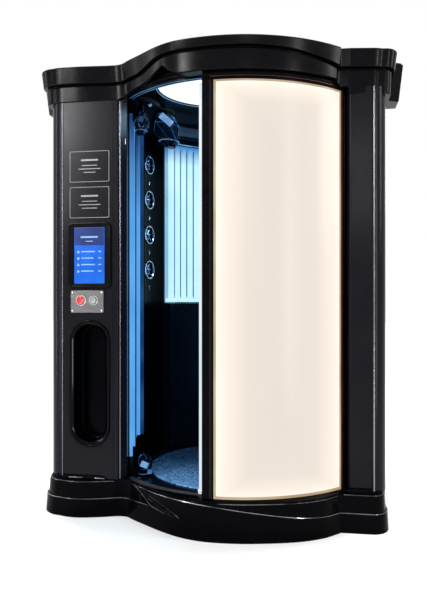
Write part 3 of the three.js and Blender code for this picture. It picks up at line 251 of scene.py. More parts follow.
# Painted light: glowing arcs for the header's edge lit by the blue lamps
HEADER_PAINTED_GLOW = glowing("header_painted_glow", (0.1, 0.3, 0.6), 0.7, (0.02, 0.10, 0.28), (0.14, 0.38, 0.70), 10)
# Painted highlights: bright metal for the pillars' beads and corner strip
HIGHLIGHT_BEAD = painted_highlight_metal("painted_highlight_bead", (0.085, 0.085, 0.098), (0.15, 0.15, 0.17), 1.2)
WINDOW = glowing("lamp_window", (0.35, 0.66, 1.0), 0.75, (0.04, 0.16, 0.46), (0.30, 0.58, 0.95), 16)
CEILING_GLOW = glowing("ceiling_lens", (0.85, 0.97, 1.0), 1.15, (0.86, 0.97, 1.0), (0.95, 1.0, 1.0))
# Painted light: the door's white edge glows though it holds no lamp
EDGE_GLOW = glowing("door_edge_painted_glow", (0.86, 0.95, 1.0), 0.75, (0.72, 0.88, 1.0), (0.92, 0.98, 1.0))


def panel_finish():
    """Opal panel lit from its edges: ivory at the rim, a warm grey in the middle."""
    finish = Finish("lit_panel", (0.05, 0.047, 0.043), Roughness=0.3, Specular_IOR_Level=0.15)
    angle = finish.maths("ARCTAN2", finish.axis("X"), finish.maths("MULTIPLY", finish.axis("Y"), -1))
    across = finish.spread(angle, -1, 1, (math.radians(PANEL_FROM), math.radians(PANEL_TO)))
    upright = finish.spread(finish.axis("Z"), -1, 1, (0.19, 2.15))
    ends = finish.maths("POWER", finish.maths("ABSOLUTE", upright), 6)
    far = finish.maths("MAXIMUM", finish.maths("ABSOLUTE", across), ends)
    drift = finish.maths("ADD", far, finish.maths("MULTIPLY", finish.noise(2.2, 2), 0.06))
    glow = finish.ramp(
        drift, (0.05, (0.72, 0.65, 0.59)), (0.55, (0.77, 0.69, 0.61)), (0.85, (0.91, 0.81, 0.70)),
        (1.0, (0.98, 0.93, 0.81)),
    )
    finish.set(Emission_Color=glow, Emission_Strength=1.0)
    finish.bump(finish.noise(700, 2), 0.1, 2 * FINE_PEEL)
    return finish


def mat_finish():
    """Pebbled blue floor mat, with painted light: paler at the front and darker towards the back."""
    finish = Finish("pebbled_mat", (0.05, 0.09, 0.14), Specular_IOR_Level=0.6)
    pebbles = finish.pebbles(95)
    # Painted light and shade: the colour darkens from the front of the mat towards the back
    painted_shade = finish.maths("ADD", pebbles, finish.spread(finish.axis("Y"), 0, 0.5, (-0.32, 0.12)))
    stops = [(0.1, (0.24, 0.50, 0.84)), (0.55, (0.07, 0.18, 0.35)), (1.0, (0.008, 0.024, 0.055))]
    finish.set(Base_Color=finish.ramp(painted_shade, *stops),
               Roughness=finish.spread(finish.noise(60, 4), 0.22, 0.42))
    finish.bump(pebbles, 0.9, 0.003)
    return finish


def clear_finish():
    """Clear acrylic sheet with a faint blue body."""
    finish = Finish("clear_acrylic", (0.86, 0.94, 0.98), Transmission_Weight=1.0, IOR=1.05)
    finish.set(Roughness=finish.spread(finish.noise(9, 3), 0.01, 0.04))
    return finish


def wood_finish():
    """Sealed board with a long grain."""
    finish = Finish("sealed_board", (0.2, 0.17, 0.13))
    grain = finish.noise(14, 6, (1, 12, 12))
    finish.set(Base_Color=finish.ramp(grain, (0.3, (0.10, 0.085, 0.065)), (0.7, (0.20, 0.17, 0.13))))
    finish.set(Roughness=finish.spread(grain, 0.5, 0.7))
    finish.bump(grain, 0.4, 0.0004)
    return finish


PANEL = panel_finish()
MAT = mat_finish()
ACRYLIC = clear_finish()
WOOD = wood_finish()
DIM_BLUE = glowing("dim_blue", (0.02, 0.10, 0.30), 0.6, (0.006, 0.035, 0.12), (0.022, 0.10, 0.30), 6)
BLUE_FIN = moulded("blue_fin", (0.02, 0.09, 0.24), (0.04, 0.16, 0.38), (0.2, 0.3), 0.5)
LINE = moulded("pale_print", (0.16, 0.155, 0.16), (0.24, 0.235, 0.24), (0.4, 0.5), 0.4)
POD = moulded("pod_gloss", (0.0008, 0.002, 0.005), (0.0022, 0.007, 0.016), (0.03, 0.07), 0.03, FINE_PEEL)
# Painted highlights on the lamp heads: bright facet edges and a glowing rim
POD_EDGE_HIGHLIGHT = painted_highlight_metal("pod_edge_highlight", (0.002, 0.006, 0.016), (0.05, 0.17, 0.38), 26)
POD_RIM_HIGHLIGHT = glowing("pod_rim_highlight", (0.06, 0.2, 0.5), 0.7, (0.008, 0.04, 0.13), (0.16, 0.42, 0.80), 30)
RIM = glowing("panel_rim", (0.60, 0.44, 0.28), 0.62, (0.52, 0.36, 0.22), (0.78, 0.60, 0.40), 5)
SCREEN = glowing("screen_blue", (0.0, 0.10, 0.65), 0.95, (0.0, 0.10, 0.66), (0.004, 0.17, 0.86), 12)
SCREEN_DARK = glowing("screen_header", (0.006, 0.03, 0.22), 0.8, (0.004, 0.018, 0.15), (0.010, 0.05, 0.32),
                      12)
SCREEN_MARK = glowing("screen_mark", (0.25, 0.55, 1.0), 0.9, (0.20, 0.48, 0.95), (0.40, 0.70, 1.0), 30)


# Mesh forms; a turned profile closes at the CORE radius, and points closer than WELD metres are joined
CORE = 0.01
WELD = 0.00001


def polar(radius, angle):
    return radius * math.sin(math.radians(angle)), -radius * math.cos(math.radians(angle))


def smooth(low, high, value):
    t = min(1, max(0, (value - low) / (high - low)))
    return t * t * (3 - 2 * t)


def spaced(low, high, count):
    return [low + (high - low) * i / count for i in range(count + 1)]


def station(x, y, nx, ny, angle=None, share=0.0):
    return SimpleNamespace(x=x, y=y, nx=nx, ny=ny, angle=angle, share=share)


def arc(low, high, step=1.5, radius=0):
    """Stations on a circle about the cabin axis."""
    count = max(1, math.ceil(abs(high - low) / step))
    found = []
    for angle in spaced(low, high, count):
        nx, ny = polar(1, angle)
        found.append(station(radius * nx, radius * ny, nx, ny, angle))
    return found


def path(corners, step=6):
    """Stations along rounded corners (x, y, radius), with the outside on the right."""
    points = [Vector((c[0], c[1])) for c in corners]
    found = []

    def add(x, y, angle):
        found.append(station(x, y, math.cos(angle), math.sin(angle)))

    def outside(d):
        return math.atan2(-d.x, d.y)

    add(*points[0], outside(points[1] - points[0]))
    for i in range(1, len(points) - 1):
        into = (points[i] - points[i - 1]).normalized()
        out = (points[i + 1] - points[i]).normalized()
        turn = math.atan2(into.x * out.y - into.y * out.x, into.dot(out))
        side = math.copysign(corners[i][2], turn)
        start = points[i] - into * (corners[i][2] * math.tan(abs(turn) / 2))
        first = outside(into)
        centre = start - side * Vector((math.cos(first), math.sin(first)))
        count = max(1, math.ceil(math.degrees(abs(turn)) / step))
        for k in range(count + 1):
            angle = first + turn * k / count
            add(centre.x + side * math.cos(angle), centre.y + side * math.sin(angle), angle)
    add(*points[-1], outside(points[-1] - points[-2]))
    return found


def fillet(radius, sign, count=14):
    """Concave run between a pillar's front plane and the bow, and the bow's angle where it ends."""
    y = -(FRONT + radius)
    x = sign * math.sqrt((BOW + radius) ** 2 - y ** 2)
    angle = math.degrees(math.atan2(x, -y))
    found = []
    for share in spaced(0, 1, count):
        nx, ny = polar(1, angle * share)
        found.append(station(x - radius * nx, y - radius * ny, nx, ny, angle * share, share))
    return found, angle


LEFT_RUN, BOW_FROM = fillet(LEFT_FILLET, -1)
RIGHT_RUN, BOW_TO = fillet(RIGHT_FILLET, 1)
SEAM = 0.05


def left_band(back):
    side = path([(-LEFT, back), (-LEFT, -FRONT, LEFT_CORNER), (LEFT_RUN[0].x - 1, -FRONT)])
    return side + LEFT_RUN


def right_band(back):
    side = path([(RIGHT_RUN[0].x + 1, -FRONT), (RIGHT, -FRONT, RIGHT_CORNER), (RIGHT, back)])
    return RIGHT_RUN[::-1] + side


def with_flats(stations, xs):
    """Adds stations on the front plane at the given x values."""
    added = [station(x, -FRONT, 0, -1) for x in xs]
    front = [i for i, s in enumerate(stations) if abs(s.y + FRONT) < 0.01 and abs(s.nx) < 0.01]
    return stations[:front[0] + 1] + added + stations[front[-1]:]


def loft(rings, cap=True, loop=False):
    """Closed skin over rings of points that all have the same count."""
    size = len(rings[0])
    count = len(rings)
    verts = [v for ring in rings for v in ring]
    faces = []
    for i in range(count if loop else count - 1):
        k = (i + 1) % count
        for j in range(size):
            n = (j + 1) % size
            faces.append((i * size + j, i * size + n, k * size + n, k * size + j))
    if cap and not loop:
        faces.append(tuple(range(size))[::-1])
        faces.append(tuple(range((count - 1) * size, count * size)))
    return verts, faces


def sweep(stations, section):
    """Skin of a closed section of (offset, height) points carried along stations."""
    return loft([[(s.x + s.nx * o, s.y + s.ny * o, z) for o, z in section(s)] for s in stations])


def rounded(points, radii, steps=4):
    """Closed outline with each corner rounded by its radius."""
    out = []
    count = len(points)
    for i, radius in enumerate(radii):
        before, here, after = (Vector(points[k % count]) for k in (i - 1, i, i + 1))
        if radius == 0:
            out.append(tuple(here))
            continue
        u, v = before - here, after - here
        half = max(0.02, u.angle(v, math.pi) / 2)
        reach = min(radius / math.tan(half), 0.48 * u.length, 0.48 * v.length)
        start, end = here + u.normalized() * reach, here + v.normalized() * reach
        for t in spaced(0, 1, steps):
            out.append(tuple(start.lerp(here, t).lerp(here.lerp(end, t), t)))
    return out


def sector(inner, outer, low, high, bottom, top, step=1.5, edge=0.0):
    """Curved bar about the cabin axis, with rounded edges."""
    points = [(inner, bottom), (outer, bottom), (outer, top), (inner, top)]
    section = rounded(points, [edge] * 4, 2) if edge else points
    return sweep(arc(low, high, step), lambda s: section)


def prism(outline, bottom, top):
    """Upright prism over a closed outline in plan."""
    return loft([[(x, y, z) for x, y in outline] for z in (bottom, top)])


def rounded_box(width, height, radius, steps=6):
    x, z = width / 2, height / 2
    points = [(-x, -z), (x, -z), (x, z), (-x, z)]
    out = []
    for i, (px, pz) in enumerate(points):
        cx, cz = px - math.copysign(radius, px), pz - math.copysign(radius, pz)
        for k in range(steps + 1):
            angle = math.radians(180 + 90 * i + 90 * k / steps)
            out.append((cx + radius * math.cos(angle), cz + radius * math.sin(angle)))
    return out


def face_rings(x, z, *levels):
    """Rings in planes ahead of the pillar's front: each level is (outline, proud)."""
    return [[(x + u, -FRONT - proud, z + v) for u, v in outline] for outline, proud in levels]


def face_plate(outline_at, x, z, back, front, edge=1.5):
    """Plate on the pillar's face with a softened rim; outline_at gives its outline at an inset."""
    levels = [(outline_at(0), back), (outline_at(0), front - edge)]
    levels += [(outline_at(0.3 * edge), front - 0.3 * edge), (outline_at(edge), front)]
    return loft(face_rings(x, z, *levels))


def lathe(profile, centre, sides=48, axis=(0, 0, 1)):
    """Solid of revolution: profile is (radius, height) along an axis from a centre."""
    turn = Vector((0, 0, 1)).rotation_difference(Vector(axis)).to_matrix()
    rings = []
    for i in range(sides):
        angle = 2 * math.pi * i / sides
        ring = [turn @ Vector((r * math.cos(angle), r * math.sin(angle), h)) for r, h in profile]
        rings.append([tuple(p + Vector(centre)) for p in ring])
    return loft(rings, loop=True)


def rod(start, end, radius, sides=16, round_end=1.0):
    """Round bar between two points with softened ends."""
    start, end = Vector(start), Vector(end)
    length = (end - start).length
    e = min(round_end, radius * 0.9, length / 3)
    half = [(CORE, 0), (radius - e, 0), (radius, e)]
    profile = half + [(r, length - h) for r, h in half[::-1]]
    return lathe(profile, start, sides, (end - start).normalized())


def box(width, depth, height, centre):
    x, y, z = width / 2, depth / 2, height / 2
    ring = [(-x, -y), (x, -y), (x, y), (-x, y)]
    cx, cy, cz = centre
    return loft([[(cx + u, cy + v, cz + w) for u, v in ring] for w in (-z, z)])


def merge(*forms):
    verts, faces = [], []
    for v, f in forms:
        faces += [tuple(i + len(verts) for i in face) for face in f]
        verts += list(v)
    return verts, faces


def turned(form, matrix):
    verts, faces = form
    return [tuple(matrix @ Vector(v)) for v in verts], faces


def cleaned_mesh(name, form, weld=True):
    """Mesh in metres of a form in millimetres, with its faces turned outwards."""
    verts, faces = form
    mesh = bpy.data.meshes.new(name)
    mesh.from_pydata([Vector(v) * MM for v in verts], [], faces)
    work = bmesh.new()
    work.from_mesh(mesh)
    if weld:
        bmesh.ops.remove_doubles(work, verts=work.verts, dist=WELD)
        bmesh.ops.dissolve_degenerate(work, edges=work.edges, dist=WELD / 2)
    bmesh.ops.recalc_face_normals(work, faces=work.faces)
    work.to_mesh(mesh)
    work.free()
    return mesh


def placed(name, data):
    obj = bpy.data.objects.new(name, data)
    scene.collection.objects.link(obj)
    return obj


def settle(obj):
    """Applies an object's modifiers to its mesh."""
    depsgraph = bpy.context.evaluated_depsgraph_get()
    obj.data = bpy.data.meshes.new_from_object(obj.evaluated_get(depsgraph))
    obj.modifiers.clear()


def make(name, form, finish, slot, body="root", replaces=(), bevel=0.0, sharp=35, cutters=(), faceted=False,
         wire=0.0):
    """Makes one piece from a form in millimetres, or from a list of forms, and ties it to its body."""
    obj = placed(name, cleaned_mesh(name, merge(*form) if isinstance(form, list) else form))
    for tool in cutters:
        cut = obj.modifiers.new("cut", "BOOLEAN")
        cut.object = tool
        cut.solver = "EXACT"
    if bevel:
        edge = obj.modifiers.new("edge", "BEVEL")
        edge.width = bevel * MM
        edge.segments = 3
        edge.limit_method = "ANGLE"
        edge.angle_limit = math.radians(30)
    if wire:
        obj.modifiers.new("wire", "WIREFRAME").thickness = wire * MM
    settle(obj)
    if not faceted:
        obj.data.shade_smooth()
        obj.data.set_sharp_from_angle(angle=math.radians(sharp))
        obj.modifiers.new("normals", "WEIGHTED_NORMAL").keep_sharp = True
        settle(obj)
    obj.data.materials.clear()
    obj.data.materials.append(finish.mat)
    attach(obj, body)
    if replaces:
        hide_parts(*replaces)


def cutter(form):
    """Tool for a boolean, removed once it has been used."""
    return placed("cutter", cleaned_mesh("cutter", form, weld=False))


def discard(*tools):
    for tool in tools:
        bpy.data.objects.remove(tool)


def moulding(name, span, points, radii, finish, slot, nodes=(), step=1.5, steps=2, **more):
    """Piece with a rounded section carried round the cabin axis over a span of angles."""
    section = rounded(points, radii, steps)
    make(name, sweep(arc(*span, step), lambda s: section), finish, slot, replaces=nodes, **more)


def turning(name, profile, centre, sides, finish, slot, nodes=(), **more):
    """Piece turned about an upright axis."""
    make(name, lathe(profile, (*centre, 0), sides), finish, slot, replaces=nodes, **more)


# Base
TOP_EDGE = 178
LOWER_RIDGE = 95
LEAST = -28
LEFT_SWELL_X, LEFT_SWELL = -775, 65
NEAR_FRONT = -FRONT + 100


def left_foot(s):
    """How far the left foot stands out: it swells mid-way and draws in towards the bow."""
    if s.angle is not None:
        return 14 - 28 * s.share
    if s.nx < -0.001:
        return 45 - 9 * smooth(0, 0.7, -s.nx)
    if s.x < LEFT_SWELL_X:
        return LEFT_SWELL - 20 * ((LEFT_SWELL_X - s.x) / 103) ** 2
    return LEFT_SWELL - 51 * ((s.x - LEFT_SWELL_X) / 192) ** 1.5


def right_foot(s):
    return 56 - 38 * max(0, s.nx) ** 2 * (s.angle is None)


def bow_foot(angle):
    swell = 60 * smooth(-36, -3, angle) + 20 * smooth(12, 34, angle)
    return -14 + swell - 10 * smooth(36, BOW_TO, angle)


def pillar_plinth(foot, least, cove):
    """Foot, ridge, upper tier and a ledge that turns up in a cove against the pillar."""
    def held(offset):
        return max(offset, least)

    edge = held(foot - 27)
    wall = min(0.6, edge - 1)
    width = max(0.2, cove * min(12, edge - 1.6))
    top = PLINTH + 1.5 * width
    points = [
        (-BAND, 0), (foot - 2, 0), (foot, 3), (held(foot - 6), LOWER_RIDGE - 6),
        (held(foot - 9), LOWER_RIDGE + 1), (held(foot - 16), LOWER_RIDGE + 2.5),
        (held(foot - 21), TOP_EDGE - 6), (edge, TOP_EDGE + 2), (wall + width, PLINTH - 1),
        (wall + 0.3 * width, PLINTH + 0.6 * width), (wall + 0.06 * width, top), (wall, top),
        (wall, PLINTH), (-BAND, PLINTH),
    ]
    return rounded(points, [0, 1, 2, 5, 4, 3, 7, 6, 5, 4, 0.3, 0, 0, 0], 3)


def left_plinth(s):
    return pillar_plinth(left_foot(s), 2 - 30 * s.share, 1)


def right_plinth(s):
    return pillar_plinth(right_foot(s), 2 - 4 * s.share, 0 if s.share else smooth(585, 615, s.x))


def carried_ridge(angle):
    """Height of the left plinth's ridge where it runs on over the bow."""
    return LOWER_RIDGE + 7 * smooth(BOW_FROM, -34, angle)


def sweeping_ridge(angle):
    return TOP_EDGE - 4 + (LOWER_RIDGE - TOP_EDGE + 4) * smooth(-17, 44, angle)


SCOOP_TOP, SCOOP_FALL = 180, 98


def scoop_sides(fall):
    """Angles of the hollow's two sides at a share of its height."""
    left = -41.5 + 17 * fall + 10.5 * smooth(0.75, 1.02, fall)
    return left, -41.5 + 27.5 * (1 - (1 - fall) ** 1.5)


def scoop(angle, z):
    """Depth of the leaf-shaped hollow on the left of the bow."""
    fall = (SCOOP_TOP - z) / SCOOP_FALL
    if not 0 < fall < 1:
        return 0
    left, right = scoop_sides(fall)
    if not left < angle < right:
        return 0
    across = (angle - left) / (right - left)
    return 12 * math.sin(math.pi * across ** 0.75) ** 0.6 * min(1, 6 * fall, 5 * (1 - fall))


def bow_reach(angle, z):
    """Outward reach of the bow's face at a height, with its ridges and the hollow."""
    mid, ridge = carried_ridge(angle), sweeping_ridge(angle)
    reach = bow_foot(angle) - 6 * z / TOP_EDGE - scoop(angle, z)
    reach -= 8 * (1 - smooth(-36, -29, angle)) * smooth(mid - 3, mid + 4, z)
    reach -= 14 * smooth(-20, 2, angle) * smooth(ridge - 5, ridge + 2, z)
    return max(reach, LEAST)


def bow_plinth(s):
    """Section of the bow, with close rows at its two ridges."""
    ridge = sweeping_ridge(s.angle)
    mid = min(carried_ridge(s.angle), ridge - 20)
    rows = spaced(0, mid - 5, 14) + [mid - 3, mid - 1.5, mid, mid + 1.5, mid + 3]
    rows += spaced(mid + 5, ridge - 6, 24) + [ridge - 4, ridge - 2, ridge - 0.5, ridge + 0.8, ridge + 2]
    rows += spaced(ridge + 3, max(ridge + 4, TOP_EDGE - 8), 8)
    section = [(-BAND, 0)] + [(bow_reach(s.angle, z), z) for z in rows]
    edge, top = section[-1]
    bevel = min(9, edge + 29)
    for k in range(1, 6):
        turn = math.radians(18 * k)
        section.append((edge - bevel + bevel * math.cos(turn), top + (TOP_EDGE + 4 - top) * math.sin(turn)))
    return section + [(min(0, edge - bevel - 0.2), PLINTH), (-BAND, PLINTH)]


flat_places = spaced(-866, -590, 20)
left_line = with_flats(left_band(BACK), flat_places)
right_line = with_flats(right_band(BACK), spaced(580, 700, 10))
bow_line = arc(BOW_FROM + SEAM, BOW_TO - SEAM, 0.6, BOW)
make("plinth_left", sweep(left_line, left_plinth), PLINTH_GLOSS, "gloss_black", replaces=["base_left"])
make("plinth_right", sweep(right_line, right_plinth), PLINTH_GLOSS, "gloss_black", replaces=["base_right"])
make("plinth_bow", sweep(bow_line, bow_plinth), PLINTH_GLOSS, "gloss_black", replaces=["base_bow"], sharp=50)


def bead_run(stations, place, radius):
    """Thin rounded line carried along stations; place gives its (offset, height), radius its size."""
    def section(s):
        o, z = place(s)
        turns = [2 * math.pi * k / 10 for k in range(10)]
        return [(o + radius(s) * math.cos(t), z + radius(s) * math.sin(t)) for t in turns]

    return sweep(stations, section)


def bow_bead(stations, height, radius, sink):
    """Bead that lies on the face of the bow at a height given for each station."""
    return bead_run(stations, lambda s: (bow_reach(s.angle, height(s)) - sink, height(s)), radius)


def scoop_line(side):
    """Stations down one side of the hollow; each one's share is its height."""
    found = []
    for fall in spaced(0.05, 0.97, 36):
        angle = scoop_sides(fall)[side] + (0.15 if side else -0.15)
        nx, ny = polar(1, angle)
        found.append(station(BOW * nx, BOW * ny, nx, ny, angle, SCOOP_TOP - SCOOP_FALL * fall))
    return found


front_left = [s for s in left_line if s.y < NEAR_FRONT]
front_right = [s for s in right_line if s.y < NEAR_FRONT]
above_left = [s for s in front_left if s.angle is None]
above_right = [s for s in front_right if s.angle is None]
# Painted highlights on the plinth: beads along its ridges and top edges
make("plinth_sheen", [
    bow_bead([s for s in bow_line if s.angle < -28], lambda s: carried_ridge(s.angle) - 1.5,
             lambda s: 0.3 + 2.1 * (1 - smooth(-34, -28, s.angle)), 1.0),
    bow_bead([s for s in bow_line if s.angle > -2], lambda s: TOP_EDGE - 5,
             lambda s: 0.3 + 1.9 * smooth(-2, 4, s.angle) * (1 - 0.4 * smooth(30, BOW_TO, s.angle)), 0.8),
    bead_run(front_left, lambda s: (max(left_foot(s) - 8, 1 - 30 * s.share), LOWER_RIDGE - 1), lambda s: 2.6),
    bead_run(above_left, lambda s: (max(left_foot(s) - 25.5, 2), TOP_EDGE - 0.5), lambda s: 2.4),
    bead_run(front_right, lambda s: (right_foot(s) - 8, LOWER_RIDGE - 1), lambda s: 2.4),
    bead_run(above_right, lambda s: (right_foot(s) - 25.5, TOP_EDGE - 0.5), lambda s: 2.2),
], SHEEN, "gloss_black")
# Painted soft highlights down the two sides of the hollow
make("plinth_soft_edges", [
    bow_bead(scoop_line(0), lambda s: s.share, lambda s: 0.5 + 4.0 * smooth(84, 110, s.share), 2.0),
    bow_bead(scoop_line(1), lambda s: s.share, lambda s: 0.4 + 2.0 * smooth(178, 160, s.share), 0.9),
], SOFT_SHEEN, "gloss_black")


def gleam(middle, half):
    """Short swelling bead in the cove over the left plinth, a painted highlight."""
    stations = [station(middle + half * t, -FRONT, 0, -1, None, t) for t in spaced(-1, 1, 16)]
    return bead_run(stations, lambda s: (6, PLINTH + 3), lambda s: 0.3 + 3.6 * (1 - s.share ** 2))


# Painted bright highlights on the bow's sweeping ridge and in the left cove
make("plinth_bright_edges", [
    bow_bead(bow_line, lambda s: sweeping_ridge(s.angle) - 2,
             lambda s: 1.4 + 1.6 * smooth(-30, -8, s.angle) * (1 - 0.6 * smooth(30, BOW_TO, s.angle)), 1.2),
    gleam(-800, 52), gleam(-672, 34),
], BRIGHT_SHEEN, "gloss_black")


# Crown
LOWER_TIER, UPPER_TIER = 28, 50
LEFT_SET_BACK = 40
GROOVE_LIFT = 45
END_LIFT, PEAK_LIFT, PEAK_ANGLE = 30, 59, -21.6


def crown_section(bottom, groove, inset):
    low, high = LOWER_TIER - inset, UPPER_TIER - inset
    points = [
        (-BAND, bottom), (low, bottom), (low + 4, groove), (low - 8, groove), (low - 8, groove + 8),
        (high, groove + 8), (high + 10, HEIGHT - 6), (high + 4, HEIGHT), (-BAND, HEIGHT),
    ]
    return rounded(points, [0, 6, 5, 2, 2, 6, 7, 5, 0], 3)


def groove_rise(angle):
    if angle > 10:
        return GROOVE_LIFT * (1 - ((angle - 10) / (BOW_TO - 10)) ** 2)
    return GROOVE_LIFT * smooth(-38, -20, angle)


def bottom_rise(angle):
    if angle < PEAK_ANGLE:
        return END_LIFT + PEAK_LIFT * ((angle - BOW_FROM) / (PEAK_ANGLE - BOW_FROM)) ** 2
    return END_LIFT + PEAK_LIFT * max(0, 1 - (angle - PEAK_ANGLE) / 11) ** 2.6


def right_crown(s):
    deeper = 33 * smooth(600, 612, s.x)
    inset = (18 + 16 * smooth(600, 740, s.x)) * (1 - s.share) * (1 - smooth(0.5, 1, s.nx))
    return crown_section(CROWN_BOTTOM + END_LIFT * s.share - deeper, CROWN_GROOVE, inset)


def left_crown(s):
    inset = LEFT_SET_BACK
    if s.angle is None:
        inset = (26 + 14 * smooth(-800, -583, s.x)) * (1 - smooth(0.3, 1, -s.nx))
    return crown_section(CROWN_BOTTOM + END_LIFT * s.share, CROWN_GROOVE, inset)


def bow_crown(s):
    inset = LEFT_SET_BACK * (1 - smooth(-36, -14, s.angle))
    return crown_section(CROWN_BOTTOM + bottom_rise(s.angle), CROWN_GROOVE + groove_rise(s.angle), inset)


SIDE_FRONT = -355
right_bare = right_band(SIDE_FRONT - GAP)
flat_at = len(RIGHT_RUN) + 1
tier_step = [station(x, -FRONT, 0, -1) for x in spaced(598, 614, 8)]
right_stations = right_bare[:flat_at] + tier_step + right_bare[flat_at:]
left_stations = with_flats(left_band(SIDE_FRONT - GAP), flat_places)
make("crown_left_moulding", sweep(left_stations, left_crown), GLOSS, "gloss_black", replaces=["crown_left"])
make("crown_right_moulding", sweep(right_stations, right_crown), GLOSS, "gloss_black",
     replaces=["crown_right"])
make("crown_bow_moulding", sweep(arc(BOW_FROM + SEAM, BOW_TO - SEAM, 0.75, BOW), bow_crown), GLOSS,
     "gloss_black", replaces=["crown_bow"])


def side_crown(sign, reach, drop):
    """Deep block behind the front corner, then a slimmer tier to the back."""
    places = [
        (SIDE_FRONT, 50), (SIDE_FRONT + 30, 105), (SIDE_FRONT + 140, 105), (SIDE_FRONT + 170, 45), (BACK, 45),
    ]
    stations = [station(sign * reach, y, sign, 0, None, overhang) for y, overhang in places]

    def section(s):
        o = s.share
        low = CROWN_BOTTOM - (drop if s.y < SIDE_FRONT + 150 else 0)
        points = [(-BAND, low), (o - 22, low), (o, HEIGHT - 16), (o - 12, HEIGHT - 4), (-BAND, HEIGHT - 4)]
        return rounded(points, [0, 8, 9, 9, 0], 4)

    return sweep(stations, section)


for side, sign, reach, drop in (("left", -1, LEFT, 0), ("right", 1, RIGHT, 25)):
    make(f"crown_side_{side}_moulding", side_crown(sign, reach, drop), GLOSS, "gloss_black",
         replaces=[f"crown_side_{side}"], sharp=28)


# Pillars
def shell_outline(stations, relief):
    """Closed plan of a folded sheet whose outside is lifted by a relief at each station."""
    outer = [(s.x + s.nx * relief(s), s.y + s.ny * relief(s)) for s in stations]
    inner = [(s.x - s.nx * SHELL, s.y - s.ny * SHELL) for s in stations]
    return outer + inner[::-1]


BEAD_X, CHAMFER_X = -874, -596
JAMB_BEAD, CATCH_AT = (-563, -505.4), (-544.5, -473)
STEP_FROM = 712
chamfer_places = [CHAMFER_X + d for d in (-1.6, -0.8, 0.8, 1.6)]


def left_relief(s):
    if s.ny > -0.999:
        return 0
    return -1.6 if abs(s.x - CHAMFER_X) < 1 else 0


left_path = path([
    (-LEFT, BACK), (-LEFT, -FRONT, LEFT_CORNER), (-LEFT_FLAT, -FRONT, 10), (-LEFT_FLAT + 30, -FRONT + 61, 10),
    (-LEFT_FLAT, -FRONT + 185),
])
left_plan = shell_outline(with_flats(left_path, chamfer_places), left_relief)
SHELL_BOTTOM, SHELL_TOP = PLINTH + GAP, CROWN_BOTTOM - GAP
CONTROL_X = -724.2
CUBBY_W, CUBBY_H, CUBBY_Z, CUBBY_LIP, CUBBY_DEPTH = 224, 668, 685, 14, 120
PLATE_X, PLATE_Z, PLATE_W, PLATE_H = CONTROL_X - 12, 1114, 180, 116


def cubby_outline(inset):
    return rounded_box(CUBBY_W - 2 * inset, CUBBY_H - 2 * inset, CUBBY_W / 2 - inset - 3, 18)


def plate_outline(inset):
    return rounded_box(PLATE_W - 2 * inset, PLATE_H - 2 * inset, 6)


holes = [
    cutter(loft(face_rings(x, z, (outline, -20), (outline, 20))))
    for x, z, outline in (
        (CONTROL_X, CUBBY_Z, cubby_outline(CUBBY_LIP)), (PLATE_X, PLATE_Z, plate_outline(14)),
    )
]
make("pillar_left_shell", prism(left_plan, SHELL_BOTTOM, SHELL_TOP), SHELL_PAINT, "shell",
     replaces=["left_pillar_shell"], cutters=holes, sharp=25)
discard(*holes)


def upright_bead(x, y, radius):
    return rod((x, y, SHELL_BOTTOM + 1), (x, y, SHELL_TOP - 1), radius, 16, 1)


# Painted highlights: real beads at the left pillar's corner and jamb, painted bright as the light lines on
# them
left_highlight_beads = [upright_bead(BEAD_X, -FRONT - 0.6, 3.4), upright_bead(*JAMB_BEAD, 5)]
make("pillar_left_highlight_beads", left_highlight_beads, HIGHLIGHT_BEAD, "trim")
make("jamb_catch", rod((*CATCH_AT, 1940), (*CATCH_AT, 1974), 4.5, 16, 3.5), CHROME, "steel")


def right_relief(s):
    """The round corner stands a little proud of the flat, behind a rounded step."""
    if s.nx < 0:
        return 0
    return 4 * smooth(STEP_FROM + 2, STEP_FROM + 7, s.x)


right_path = path([
    (RIGHT_FLAT - 13, -FRONT + 61), (RIGHT_FLAT, -FRONT, 10), (RIGHT, -FRONT, RIGHT_CORNER), (RIGHT, BACK),
])
flat_right = [s for s in right_path if s.x < STEP_FROM + 0.1]
corner_right = [s for s in right_path if s.x > STEP_FROM + 8]
step_stations = []
for past in spaced(0.5, 7.5, 7):
    bend = past / RIGHT_CORNER
    step_stations.append(station(STEP_FROM + past, -FRONT + 0.5 * past * bend, bend, -1))
right_plan = shell_outline(flat_right + step_stations + corner_right, right_relief)
make("pillar_right_shell", prism(right_plan, SHELL_BOTTOM, SHELL_TOP), SHELL_PAINT, "shell",
     replaces=["right_pillar_shell"], sharp=25)
# Painted highlight: a bright strip on the right pillar's round corner
make("pillar_right_highlight_strip", upright_bead(725.5, -FRONT - 1.2, 4.6), HIGHLIGHT_BEAD, "trim")


# Lit panel and header
FRAME_FROM, FRAME_TO = -6.3, 52.0
CAP_TO = 47.5
HEADER_INNER, HEADER_OUTER = DOOR - 20, 720
BOX_BOTTOM, BOX_TOP = PLINTH + GAP, PANEL_TOP - GAP
make("lit_panel_sheet", sector(BOW - 4, BOW, PANEL_FROM, PANEL_TO, BOX_BOTTOM, BOX_TOP, 1), PANEL, "opal",
     replaces=["lightbox_diffuser"])


def panel_rim():
    """Thin rim round the lit sheet, on its face."""
    wide = math.degrees(11 / BOW)
    low, high = PANEL_FROM + wide, PANEL_TO - 0.8 * wide
    bars = [
        (PANEL_FROM, low, BOX_BOTTOM, BOX_TOP), (high, PANEL_TO, BOX_BOTTOM, BOX_TOP),
        (low, high, BOX_BOTTOM, BOX_BOTTOM + 13), (low, high, BOX_TOP - 9, BOX_TOP),
    ]
    return [sector(BOW + 0.2, BOW + 3, *bar, 1, 0.8) for bar in bars]


make("lit_panel_rim", panel_rim(), RIM, "opal")


